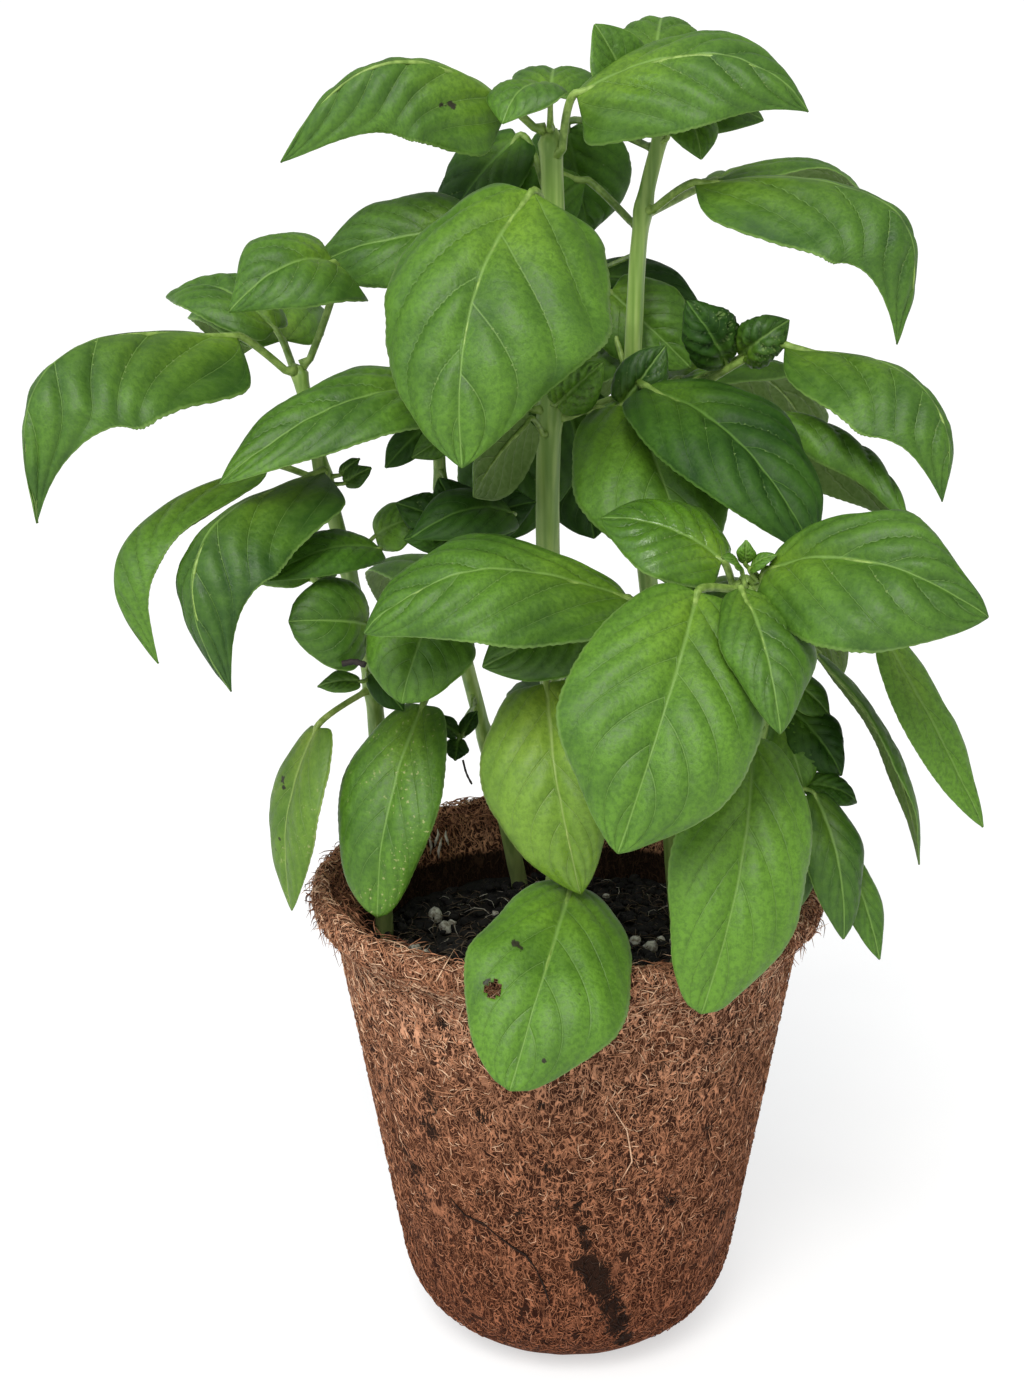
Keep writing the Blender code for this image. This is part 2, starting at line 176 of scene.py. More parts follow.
def make_piece(name, points, faces, materials, material_index=None):
    """A smooth mesh object from points in millimetres."""
    mesh = bpy.data.meshes.new(name)
    mesh.from_pydata((np.asarray(points) * MM).tolist(), [], faces)
    for material in materials:
        mesh.materials.append(material)
    if material_index is not None:
        mesh.polygons.foreach_set("material_index", np.asarray(material_index, np.int32))
    mesh.shade_smooth()
    mesh.update()
    piece = bpy.data.objects.new(name, mesh)
    bpy.context.scene.collection.objects.link(piece)
    return piece


def turned_surface(section, steps):
    """Points and faces of a section line turned about Z, closed at both ends on the axis."""
    turn = np.arange(steps) * (math.tau / steps)
    radius, height = section[:, 0][:, None], section[:, 1][:, None]
    points = np.stack([radius * np.sin(turn), -radius * np.cos(turn), height + 0.0 * turn], axis=2)
    rows = len(section)
    faces = [(row * steps + k, row * steps + (k + 1) % steps, (row + 1) * steps + (k + 1) % steps,
              (row + 1) * steps + k) for row in range(rows - 1) for k in range(steps)]
    faces.append(tuple(range(steps))[::-1])
    faces.append(tuple((rows - 1) * steps + k for k in range(steps)))
    return points.reshape(-1, 3), faces


def bumpy(points, size, seed):
    """Smooth noise from -1 to 1 at each point, with lumps of a size in millimetres."""
    shift = Vector((seed, seed * 1.7, seed * 0.3))
    return np.array([noise.noise(Vector(point) / size + shift) for point in points])


section = stepped(INSIDE + LIP + OUTSIDE, ROW_STEP)
pot_points, pot_faces = turned_surface(section, POT_ROUND_STEPS)
outward = np.stack([pot_points[:, 0], pot_points[:, 1], 0.0 * pot_points[:, 2]], axis=1)
outward /= np.linalg.norm(outward, axis=1)[:, None] + 1e-9
near_lip = np.clip((pot_points[:, 2] - FRAYED_FROM) / FRAYED_OVER, 0.0, 1.0)
above_base = np.clip(pot_points[:, 2] / 4.0, 0.0, 1.0)
waves = 0.45 * bumpy(pot_points, 14.0, 3.0) + 0.28 * bumpy(pot_points, 4.5, 5.0)
frays = 1.1 * bumpy(pot_points, 9.0, 8.0) + 0.8 * bumpy(pot_points, 3.2, 9.0)
pot_points = pot_points + outward * ((waves + frays * near_lip) * above_base)[:, None]
pot_points[:, 2] += near_lip * (0.9 * bumpy(pot_points, 7.0, 12.0) + 0.6 * bumpy(pot_points, 2.6, 13.0) - 0.4)
pot_points[:, 2] = np.clip(pot_points[:, 2], 0.0, None)

felt, tree, output = new_material("coir_felt")
place = node(tree, "TexCoord").outputs["Object"]
marks_and_shade = node(tree, "Attribute", {"attribute_name": "marks_and_shade"}).outputs["Vector"]
stain, inner, low_down = node(tree, "SeparateXYZ", i0=marks_and_shade).outputs
cloud = node(tree, "TexNoise", Vector=place, Scale=38.0, Detail=3.0, Roughness=0.6).outputs["Fac"]
tangle = None
# Layers of pressed strands: how fine, how drawn out, how tilted and how wide.
STRAND_LAYERS = [(300.0, 0.5, 0.2, 0.029), (260.0, 0.3, 1.1, 0.026), (330.0, 0.4, 2.2, 0.031),
                 (380.0, 1.0, 0.0, 0.038), (230.0, 0.3, 2.8, 0.022)]
for layer, (size, stretch, tilt, width) in enumerate(STRAND_LAYERS):
    laid = node(tree, "Mapping", Vector=place, Location=(0.3 * layer, 0.17 * layer, 0.11 * layer),
                Rotation=(tilt, 0.5 * tilt, 0.9 * layer), Scale=(1.0, 1.0, stretch)).outputs[0]
    swirl = node(tree, "TexNoise", Vector=laid, Scale=size, Detail=1.0, Distortion=1.1).outputs["Fac"]
    off_line = sums(tree, "ABSOLUTE", sums(tree, "SUBTRACT", swirl, 0.5))
    strand = ramped(tree, off_line, 0.25 * width, width, 1.0 - 0.13 * layer, 0.0)
    tangle = strand if tangle is None else sums(tree, "MAXIMUM", tangle, strand)
level = node(tree, "SeparateXYZ", i0=place).outputs[2]
upper = ramped(tree, level, 0.078, 0.118)
strand_tan = mixed(tree, upper, (0.46, 0.205, 0.108, 1.0), (0.66, 0.33, 0.19, 1.0))
# Painted shade: the near-black between the pressed strands stands for the shade down in the gaps.
felt_tan = mixed(tree, tangle, (0.032, 0.011, 0.006, 1.0), strand_tan)
clouded = mixed(tree, ramped(tree, cloud, 0.40, 0.70, 0.0, 0.25), felt_tan, (0.19, 0.068, 0.030, 1.0))
rusty = mixed(tree, sums(tree, "MULTIPLY", low_down, RUST_SHARE), clouded, RUST_TINT, "MULTIPLY")
ragged = sums(tree, "ADD", stain, sums(tree, "MULTIPLY", sums(tree, "SUBTRACT", cloud, 0.5), 1.9))
ragged = sums(tree, "SUBTRACT", ragged, sums(tree, "MULTIPLY", tangle, 0.30))
stained = mixed(tree, ramped(tree, ragged, 0.30, 0.56, 0.0, 0.94), rusty, (0.020, 0.0095, 0.006, 1.0))
flecks = node(tree, "TexNoise", Vector=place, Scale=260.0, Detail=2.0, Roughness=0.6,
              Distortion=0.5).outputs["Fac"]
patches = node(tree, "TexNoise", Vector=place, Scale=28.0, Detail=2.0).outputs["Fac"]
flecks = sums(tree, "ADD", flecks, sums(tree, "MULTIPLY", patches, 0.22))
flecked = mixed(tree, ramped(tree, flecks, 0.735, 0.765, 0.0, 0.9), stained, (0.026, 0.010, 0.006, 1.0))
# Painted shade: the inner wall, from just under the rim down, is darkened almost to black.
inner_shaded_felt = mixed(tree, sums(tree, "MULTIPLY", inner, 0.93), flecked, (0.014, 0.008, 0.005, 1.0))
rise = node(tree, "Bump", Height=tangle, Strength=0.9, Distance=0.0005).outputs[0]
shader = node(tree, "BsdfPrincipled", Base_Color=inner_shaded_felt, Roughness=0.88, Normal=rise)
shader.inputs["Specular IOR Level"].default_value = 0.06
tree.links.new(shader.outputs[0], output.inputs[0])

turn_degrees = np.degrees(np.arctan2(pot_points[:, 0], -pot_points[:, 1]))
inside_rows = len(stepped(INSIDE, ROW_STEP))
is_inside = np.repeat(np.arange(len(section)) < inside_rows, POT_ROUND_STEPS).astype(float)
coir_pot = make_piece("pressed_coir_pot", pot_points, pot_faces, [felt])
# Each point carries its stain, the painted shade on the inner wall, and how low down it is.
set_attribute(coir_pot.data, "marks_and_shade", np.stack([
    stain_at(turn_degrees, pot_points[:, 2]) * (1 - is_inside),
    is_inside * np.clip((INNER_SHADE_BELOW - pot_points[:, 2]) / INNER_SHADE_OVER, 0.0, 1.0),
    np.clip(1.0 - pot_points[:, 2] / RUSTY_BELOW, 0.0, 1.0)], axis=1))
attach(coir_pot, "root")
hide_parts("coir_pot")


# ---------------------------------------------------------------------------
# The pot's fibres.  Brown coconut fibres 0.2 to 0.8 mm thick that lie every
# way in the felt, half sunk in it, and stand out loose along the lip.
# ---------------------------------------------------------------------------

FIBRE_POINTS = 4
USUAL_RADIUS = 58.0
DARKER_BELOW = 80.0
PALER_FROM = 85.0
PALER_OVER = 30.0
random_fibres = np.random.default_rng(11)
outer_line = stepped(LIP[1:] + OUTSIDE[:-1], 0.5)
outer_run = np.concatenate([[0.0], np.cumsum(np.linalg.norm(np.diff(outer_line, axis=0), axis=1))])


def on_pot(run, turn, lift):
    """A place on the outer wall: millimetres from the lip's inner edge, angle round, lift off the felt."""
    radius = np.interp(run, outer_run, outer_line[:, 0])
    height = np.interp(run, outer_run, outer_line[:, 1])
    slope_r, slope_z = [np.interp(run + 0.5, outer_run, column) - np.interp(run - 0.5, outer_run, column)
                        for column in outer_line.T]
    size = np.hypot(slope_r, slope_z) + 1e-6
    radius = radius - slope_z / size * lift
    height = height + slope_r / size * lift
    return np.stack([radius * np.sin(turn), -radius * np.cos(turn), height], axis=-1)


def fibre_mesh(paths, thickness):
    """Points and faces of thin three-sided tubes, one along each path, tapering to both ends; thickness is
    measured from the path."""
    count, length = paths.shape[:2]
    along = np.gradient(paths, axis=1)
    along /= np.linalg.norm(along, axis=2, keepdims=True) + 1e-9
    side = np.cross(along, np.array([0.31, 0.17, 0.93]))
    side /= np.linalg.norm(side, axis=2, keepdims=True) + 1e-9
    over = np.cross(along, side)
    taper = (1.0 - 0.75 * np.abs(np.linspace(-1, 1, length)) ** 3)[None, :, None]
    rings = []
    for corner in range(3):
        angle = math.tau * corner / 3
        outward = side * math.cos(angle) + over * math.sin(angle)
        rings.append(paths + outward * thickness[:, None, None] * taper)
    points = np.stack(rings, axis=2).reshape(-1, 3)
    base = (np.arange(count) * length * 3)[:, None]
    quads = []
    for k in range(length - 1):
        for corner in range(3):
            after = (corner + 1) % 3
            ring = np.array([corner, after, 3 + after, 3 + corner])
            quads.append(base + k * 3 + ring)
    ends = [base + np.array([2, 1, 0]), base + (length - 1) * 3 + np.array([0, 1, 2])]
    faces = [tuple(face) for block in quads for face in block.tolist()]
    faces += [tuple(face) for block in ends for face in block.tolist()]
    return points, faces


def fibre_tones(tone, stain):
    """Each fibre's own shade, and the stain at each of its points."""
    shade = np.repeat(tone[:, None], stain.shape[1], axis=1)
    return np.repeat(np.stack([shade, stain, shade], axis=-1).reshape(-1, 3), 3, axis=0)


def fibre_material(name, dark, light, pale):
    """Dull strands whose colour goes by each fibre's own shade; a stained one is nearly black."""
    material, tree, output = new_material(name)
    strand = node(tree, "Attribute", {"attribute_name": "strand"}).outputs["Vector"]
    own = node(tree, "SeparateXYZ", i0=strand)
    place = node(tree, "TexCoord").outputs["Object"]
    patch = node(tree, "TexNoise", Vector=place, Scale=900.0, Detail=2.0).outputs["Fac"]
    colour = mixed(tree, ramped(tree, own.outputs[0], 0.0, 0.85), (*dark, 1.0), (*light, 1.0))
    colour = mixed(tree, ramped(tree, own.outputs[0], 0.90, 1.0), colour, (*pale, 1.0))
    colour = mixed(tree, ramped(tree, patch, 0.3, 0.8, 0.0, 0.5), colour, (*dark, 1.0))
    level = node(tree, "SeparateXYZ", i0=place).outputs[2]
    low_down = ramped(tree, level, -0.01, RUSTY_BELOW * MM, RUST_SHARE, 0.0)
    colour = mixed(tree, low_down, colour, RUST_TINT, "MULTIPLY")
    stained = ramped(tree, own.outputs[1], 0.28, 0.50, 0.0, 0.95)
    colour = mixed(tree, stained, colour, (0.014, 0.009, 0.007, 1.0))
    shader = node(tree, "BsdfPrincipled", Base_Color=colour, Roughness=0.7)
    shader.inputs["Specular IOR Level"].default_value = 0.1
    tree.links.new(shader.outputs[0], output.inputs[0])
    return material


coir_strand = fibre_material("coir_strand", (0.085, 0.028, 0.014), (0.50, 0.235, 0.125), (0.78, 0.50, 0.32))


def lay_fibres(name, count, run_range, turn_range, length_range, thick_range, lift, loose_share=0.0):
    """Fibres that lie on the wall; a few of them lift at one end."""
    run = random_fibres.uniform(*run_range, count)
    turn = random_fibres.uniform(*turn_range, count)
    heading = random_fibres.uniform(0, math.tau, count)
    bend = random_fibres.normal(0, 0.22, count)
    length = random_fibres.uniform(*length_range, count)
    thickness = random_fibres.uniform(*thick_range, count)
    loose = random_fibres.random(count) < loose_share
    rise = random_fibres.uniform(0.3, 1.0, count) * lift
    share = np.linspace(-0.5, 0.5, FIBRE_POINTS)[None, :]
    step = length[:, None] * share
    angle = heading[:, None] + bend[:, None] * step
    down = run[:, None] + np.sin(angle) * step
    down = np.clip(down, 0.5, outer_run[-1] - 1.0)
    round_about = turn[:, None] + np.cos(angle) * step / USUAL_RADIUS
    height = rise[:, None] * (1.0 - (share * 2.0) ** 2) - 0.06
    spring = random_fibres.uniform(4, 14, count)
    height = height + loose[:, None] * np.clip(share, 0.0, None) ** 2 * spring[:, None]
    paths = on_pot(down, round_about, height)
    points, faces = fibre_mesh(paths, thickness)
    points[:, 2] = np.clip(points[:, 2], 0.05, None)
    stain = stain_at(np.degrees(round_about), np.interp(down, outer_run, outer_line[:, 1]))
    stain = stain + random_fibres.normal(0, 0.10, count)[:, None] * (stain > 0.08)
    level = np.interp(run, outer_run, outer_line[:, 1])
    low = np.clip(1.0 - level / DARKER_BELOW, 0.0, 1.0)
    high = np.clip((level - PALER_FROM) / PALER_OVER, 0.0, 1.0)
    tone = np.clip(random_fibres.beta(1.3, 1.1, count) + 0.02 + 0.24 * high - 0.08 * low, 0.0, 1.0)
    piece = make_piece(name, points, faces, [coir_strand])
    set_attribute(piece.data, "strand", fibre_tones(tone, stain))
    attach(piece, "root")


few = 1
lay_fibres("coir_fibres_front", 8600 // few, (5, outer_run[-1] - 24), (-math.pi / 2, math.pi / 2), (2, 6),
           (0.11, 0.20), 0.45)
lay_fibres("coir_fibres_back", 4000 // few, (5, outer_run[-1] - 24), (math.pi / 2, math.pi * 1.5), (3, 8),
           (0.12, 0.22), 0.45)
lay_fibres("coir_fibres_neck", 2300 // few, (1, 21), (0, math.tau), (4, 12), (0.12, 0.21), 1.1, 0.10)

# Single strands that stand out from the felt: shade, half the thickness, and lift, then a few stops along
# each, in degrees round and height.  A shade of 0 is a dark strand.
LOOSE_STRANDS = [(0.0, 0.30, 0.7, [(-38, 58), (-33, 54), (-27, 53), (-22, 49)]),
                 (0.0, 0.38, 0.8, [(-23, 50), (-18, 47), (-14, 45), (-10, 39)]),
                 (0.0, 0.30, 0.7, [(-11, 40), (-9, 36), (-8, 33), (-7, 29)]),
                 (1.0, 0.24, 1.2, [(9, 94), (14, 85), (16, 75), (13, 68)]),
                 (0.9, 0.22, 1.0, [(12, 101), (19, 105), (26, 105), (33, 100)]),
                 (0.9, 0.20, 1.6, [(-60, 54), (-62, 50), (-63, 46), (-61, 43)]),
                 (0.6, 0.22, 2.4, [(-66, 52), (-63, 49), (-60, 48), (-58, 50)]),
                 (0.8, 0.20, 2.0, [(-65, 47), (-62, 48), (-61, 51), (-64, 54)]),
                 (0.8, 0.20, 1.0, [(-44, 95), (-38, 92), (-31, 93), (-27, 97)]),
                 (0.7, 0.22, 1.2, [(40, 78), (43, 70), (47, 66), (52, 67)])]
strand_share = np.linspace(0, 1, 7)
strand_paths = []
for shade, thickness, lift, stops in LOOSE_STRANDS:
    stop_share = np.linspace(0, 1, len(stops))
    turn = np.radians(np.interp(strand_share, stop_share, [angle for angle, _ in stops]))
    height = np.interp(strand_share, stop_share, [level for _, level in stops])
    radius = wall_radius(height) + lift * (0.35 + 0.65 * np.sin(math.pi * strand_share))
    strand_paths.append(np.stack([radius * np.sin(turn), -radius * np.cos(turn), height], axis=1))
strand_thickness = np.array([thickness for _, thickness, _, _ in LOOSE_STRANDS])
points, faces = fibre_mesh(np.array(strand_paths), strand_thickness)
loose_strands = make_piece("coir_loose_strands", points, faces, [coir_strand])
shades = np.array([shade for shade, _, _, _ in LOOSE_STRANDS])
strand_stains = np.repeat((shades == 0.0)[:, None] * 1.0, len(strand_share), axis=1)
set_attribute(loose_strands.data, "strand", fibre_tones(shades, strand_stains))
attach(loose_strands, "root")


def frayed_lip(count):
    """Loose fibres that spring from the lip, out and up in every direction."""
    turn = random_fibres.uniform(0, math.tau, count)
    start_radius = random_fibres.uniform(LIP_RADIUS - 6.5, LIP_RADIUS - 0.8, count)
    start_height = POT_HEIGHT - 1.5 - random_fibres.uniform(0, 4.5, count)
    heading = random_fibres.uniform(-2.4, 2.4, count)
    rise = random_fibres.uniform(-0.6, 0.6, count)
    length = random_fibres.uniform(3.0, 8.0, count)
    bend = random_fibres.normal(0, 1.3, count)
    share = np.linspace(0, 1, FIBRE_POINTS)[None, :]
    angle = heading[:, None] + bend[:, None] * share
    step = length[:, None] / (FIBRE_POINTS - 1)
    out = start_radius[:, None] + np.cumsum(np.cos(angle) * step, axis=1) - 2.5
    out = np.minimum(out, LIP_RADIUS + random_fibres.uniform(0.0, 2.0, count)[:, None])
    round_about = turn[:, None] + np.cumsum(np.sin(angle) * step, axis=1) / LIP_RADIUS
    height = start_height[:, None] + rise[:, None] * length[:, None] * share - 2.5 * share ** 2
    height = np.minimum(height, POT_HEIGHT + 3.5)
    paths = np.stack([out * np.sin(round_about), -out * np.cos(round_about), height], axis=-1)
    points, faces = fibre_mesh(paths, random_fibres.uniform(0.11, 0.20, count))
    piece = make_piece("coir_frayed_lip", points, faces, [coir_strand])
    tones = fibre_tones(random_fibres.beta(1.7, 2.7, count), np.zeros((count, FIBRE_POINTS)))
    set_attribute(piece.data, "strand", tones)
    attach(piece, "root")


frayed_lip(2900 // few)


# ---------------------------------------------------------------------------
# The soil.  Damp peat and coir, almost black, with perlite grains worked to the
# top and the plant's own pale feeder roots and old straw lying over it.
# ---------------------------------------------------------------------------

SOIL_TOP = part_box("potting_soil")[1][2] / MM
SOIL_RADIUS = wall_radius(SOIL_TOP, WALL) - 0.4
SOIL_RINGS = 62
SOIL_ROUND_STEPS = 170
random_soil = np.random.default_rng(23)

rings = np.concatenate([np.linspace(1.0, SOIL_RADIUS, SOIL_RINGS), [SOIL_RADIUS - 0.4, 38.0]])
levels = np.concatenate([np.full(SOIL_RINGS, SOIL_TOP - 1.0), [SOIL_TOP - 9.0, SOIL_TOP - 14.0]])
soil_points, soil_faces = turned_surface(np.stack([rings, levels], axis=1)[::-1], SOIL_ROUND_STEPS)
soil_faces = [face[::-1] for face in soil_faces]
on_top = (soil_points[:, 2] > SOIL_TOP - 2.0).astype(float)
crumble = (1.7 * bumpy(soil_points, 9.0, 2.0) + 1.3 * np.abs(bumpy(soil_points, 3.4, 4.0))
           + 0.6 * bumpy(soil_points, 1.5, 6.0))
edge = np.clip((SOIL_RADIUS - np.hypot(soil_points[:, 0], soil_points[:, 1])) / 6.0, 0.0, 1.0)
soil_points[:, 2] += on_top * (crumble - 0.8 + 1.2 * (1 - edge))

earth, tree, output = new_material("damp_soil")
place = node(tree, "TexCoord").outputs["Object"]
crumbs = node(tree, "TexNoise", Vector=place, Scale=420.0, Detail=4.0, Roughness=0.7).outputs["Fac"]
straw_place = node(tree, "Mapping", Vector=place, Rotation=(0.0, 0.0, 0.7),
                   Scale=(1.0, 0.14, 1.0)).outputs[0]
straw = node(tree, "TexNoise", Vector=straw_place, Scale=900.0, Detail=2.0, Distortion=1.2).outputs["Fac"]
colour = mixed(tree, ramped(tree, crumbs, 0.35, 0.75),
               (0.0035, 0.003, 0.0028, 1.0), (0.016, 0.012, 0.010, 1.0))
colour = mixed(tree, ramped(tree, straw, 0.66, 0.76), colour, (0.085, 0.058, 0.038, 1.0))
rise = node(tree, "Bump", Height=crumbs, Strength=0.9, Distance=0.0008).outputs[0]
shader = node(tree, "BsdfPrincipled", Base_Color=colour, Roughness=0.85, Normal=rise)
shader.inputs["Specular IOR Level"].default_value = 0.35
tree.links.new(shader.outputs[0], output.inputs[0])

soil = make_piece("potting_soil_surface", soil_points, soil_faces, [earth])
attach(soil, "root")
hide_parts("potting_soil")


def lumps(name, places, sizes, material, roughness, seed):
    """Irregular grains: small rounded lumps pushed about by noise, as one piece."""
    pattern = bmesh.new()
    bmesh.ops.create_icosphere(pattern, subdivisions=2, radius=1.0)
    round_points = np.array([vertex.co[:] for vertex in pattern.verts])
    round_faces = [tuple(vertex.index for vertex in face.verts) for face in pattern.faces]
    pattern.free()
    points, faces = [], []
    for index, (spot, size) in enumerate(zip(places, sizes)):
        lump = round_points * (1.0 + roughness * bumpy(round_points, 0.8, seed + index)[:, None])
        lump = lump * np.array([1.0, 0.8, 0.75]) * size
        spin = np.array(Matrix.Rotation(random_soil.uniform(0, math.tau), 3, "Z"))
        points.append(lump @ spin.T + np.asarray(spot))
        faces += [tuple(corner + index * len(round_points) for corner in face) for face in round_faces]
    piece = make_piece(name, np.concatenate(points), faces, [material])
    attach(piece, "root")


crumb_count = 900 // few
reach = SOIL_RADIUS * np.sqrt(random_soil.random(crumb_count)) * 0.97
turn = random_soil.uniform(0, math.tau, crumb_count)
crumb_sizes = random_soil.uniform(0.7, 1.9, crumb_count)
lumps("soil_crumbs", np.stack([reach * np.sin(turn), -reach * np.cos(turn),
                               SOIL_TOP - 0.6 + random_soil.uniform(-0.4, 1.2, crumb_count)], axis=1),
      crumb_sizes, earth, 0.5, 31.0)

grit, tree, output = new_material("perlite_grit")
place = node(tree, "TexCoord").outputs["Object"]
pits = node(tree, "TexNoise", Vector=place, Scale=900.0, Detail=2.0, Roughness=0.65).outputs["Fac"]
colour = mixed(tree, ramped(tree, pits, 0.3, 0.65), (0.20, 0.17, 0.12, 1.0), (0.62, 0.60, 0.52, 1.0))
rise = node(tree, "Bump", Height=pits, Strength=0.8, Distance=0.0005).outputs[0]
shader = node(tree, "BsdfPrincipled", Base_Color=colour, Roughness=0.85, Normal=rise)
tree.links.new(shader.outputs[0], output.inputs[0])

# Perlite grains: x, y and half their size.
PERLITE = [(-37, 23, 2.6), (-34, 14, 2.3), (-32, 17, 1.2), (-47, -3, 2.0), (-42, -1, 1.8), (-43, -6, 1.6),
           (-39, -4, 1.2), (-19, -14, 1.2), (19, 3, 2.0), (23, -1, 2.3), (26, 4, 1.1), (-1, -15, 1.4),
           (-4, -13, 1.7), (11, -22, 1.4), (-20, 24, 1.0), (12, 36, 1.2), (40, 22, 1.5), (44, -18, 1.4),
           (-24, -30, 1.5), (8, -38, 1.6), (-5, 30, 1.1)]
lumps("perlite_grains", [(x, y, SOIL_TOP + 0.6) for x, y, _ in PERLITE], [size for _, _, size in PERLITE],
      grit, 0.55, 77.0)

root_strand = fibre_material("feeder_root", (0.045, 0.03, 0.02), (0.20, 0.15, 0.10), (0.72, 0.66, 0.55))


def lay_roots(name, count, length_range, thick_range, pale, hump):
    """Feeder roots and straws over the soil."""
    reach = (SOIL_RADIUS - 5.0) * np.sqrt(random_soil.random(count))
    turn = random_soil.uniform(0, math.tau, count)
    heading = random_soil.uniform(0, math.tau, count)
    bend = random_soil.normal(0, 1.3, count)
    length = random_soil.uniform(*length_range, count)
    share = np.linspace(-0.5, 0.5, FIBRE_POINTS)[None, :]
    angle = heading[:, None] + bend[:, None] * share
    x = (reach * np.sin(turn))[:, None] + np.cos(angle) * length[:, None] * share
    y = (-reach * np.cos(turn))[:, None] + np.sin(angle) * length[:, None] * share
    far = np.hypot(x, y)
    shrink = np.minimum(1.0, (SOIL_RADIUS - 1.0) / far)
    z = SOIL_TOP + 0.3 + random_soil.uniform(0.0, hump, count)[:, None] * (1 - (2 * share) ** 2)
    points, faces = fibre_mesh(np.stack([x * shrink, y * shrink, z + 0 * x], axis=-1),
                               random_soil.uniform(*thick_range, count))
    piece = make_piece(name, points, faces, [root_strand])
    tone = np.clip(random_soil.beta(2, 2, count) * 0.8 + pale, 0, 1)
    set_attribute(piece.data, "strand", fibre_tones(tone, np.zeros((count, FIBRE_POINTS))))
    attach(piece, "root")


lay_roots("soil_straw", 420 // few, (3, 9), (0.08, 0.2), -0.1, 1.6)
lay_roots("feeder_roots", 460 // few, (3, 10), (0.07, 0.15), 0.38, 2.0)

# Short broken roots that hang on the inner wall at the back: x, y and z of the top, and how far each hangs.
BROKEN_ROOTS = [(-43, 38, 131, 5), (-41, 41, 132, 6), (-39, 43, 131, 7), (-37, 44, 131, 5), (-36, 42, 129, 6),
                (-34, 45, 130, 4)]
broken_share = np.linspace(0, 1, FIBRE_POINTS)
broken_paths = [np.stack([x + 0.5 * np.sin(4 * broken_share + x), y - 1.5 * broken_share,
                          z - drop * broken_share], axis=1) for x, y, z, drop in BROKEN_ROOTS]
points, faces = fibre_mesh(np.array(broken_paths), np.full(len(BROKEN_ROOTS), 0.5))
broken_roots = make_piece("broken_roots", points, faces, [root_strand])
set_attribute(broken_roots.data, "strand", np.tile([1.0, 0.0, 1.0], (len(points), 1)))
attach(broken_roots, "root")


# ---------------------------------------------------------------------------
# The stems.  Six soft green shoots 3 to 7 mm thick, four-cornered with fine
# ribs, a little swollen where the leaf stalks leave them, set in the soil.
# ---------------------------------------------------------------------------

STEM_SIDES = 20
SOCKET_DEPTH = 6.0
NODE_SWELLING = 0.55
NODE_SPREAD = 3.0


def smooth_route(points, steps):
    """A Catmull-Rom curve through points."""
    points = np.array(points, float)
    padded = np.vstack([2 * points[0] - points[1], points, 2 * points[-1] - points[-2]])
    route = []
    for before, start, end, after in zip(padded, padded[1:], padded[2:], padded[3:]):
        for t in np.arange(steps) / steps:
            route.append(0.5 * (2 * start + (end - before) * t
                                + (2 * before - 5 * start + 4 * end - after) * t ** 2
                                + (3 * start - before - 3 * end + after) * t ** 3))
    route.append(points[-1])
    return np.array(route)


def unit(vectors):
    """Vectors of length one."""
    vectors = np.asarray(vectors, float)
    return vectors / (np.linalg.norm(vectors, axis=-1, keepdims=True) + 1e-12)


def tube(route, radius, sides, corners=0.0, twist=0.0):
    """Points and faces of a closed tube along a route; corners makes it four-cornered."""
    route = np.asarray(route, float)
    along = unit(np.gradient(route, axis=0))
    side = unit(np.cross(along, np.array([0.05, 1.0, 0.12])))
    over = np.cross(along, side)
    angle = np.arange(sides) * math.tau / sides
    turn = angle[None, :] + twist * np.linspace(0, 1, len(route))[:, None]
    size = np.asarray(radius)[:, None] * (1.0 + corners * np.cos(4 * angle)[None, :])
    points = route[:, None, :] + (side[:, None, :] * np.cos(turn)[..., None]
                                  + over[:, None, :] * np.sin(turn)[..., None]) * size[..., None]
    faces = [(row * sides + k, row * sides + (k + 1) % sides, (row + 1) * sides + (k + 1) % sides,
              (row + 1) * sides + k) for row in range(len(route) - 1) for k in range(sides)]
    faces.append(tuple(range(sides))[::-1])
    faces.append(tuple((len(route) - 1) * sides + k for k in range(sides)))
    return points.reshape(-1, 3), faces


green_stem, tree, output = new_material("green_stem")
place = node(tree, "TexCoord").outputs["Object"]
length_wise = node(tree, "Mapping", Vector=place, Scale=(1.0, 1.0, 0.03)).outputs[0]
ribs = node(tree, "TexNoise", Vector=length_wise, Scale=650.0, Detail=1.0).outputs["Fac"]
blotch = node(tree, "TexNoise", Vector=place, Scale=60.0, Detail=3.0).outputs["Fac"]
fine = node(tree, "TexNoise", Vector=place, Scale=1500.0, Detail=2.0).outputs["Fac"]
height = node(tree, "SeparateXYZ", i0=place).outputs[2]
colour = mixed(tree, ramped(tree, ribs, 0.3, 0.7), (0.15, 0.27, 0.045, 1.0), (0.30, 0.43, 0.11, 1.0))
colour = mixed(tree, ramped(tree, blotch, 0.45, 0.75, 0.0, 0.5), colour, (0.14, 0.25, 0.035, 1.0))
colour = mixed(tree, ramped(tree, height, 0.108, 0.145, 0.6, 0.0), colour, (0.20, 0.19, 0.09, 1.0))
relief = sums(tree, "ADD", sums(tree, "MULTIPLY", ribs, 0.8), sums(tree, "MULTIPLY", fine, 0.3))
rise = node(tree, "Bump", Height=relief, Strength=0.45, Distance=0.0004).outputs[0]
shader = node(tree, "BsdfPrincipled", Base_Color=colour, Roughness=0.42, Normal=rise)
shader.inputs["Specular IOR Level"].default_value = 0.4
tree.links.new(shader.outputs[0], output.inputs[0])


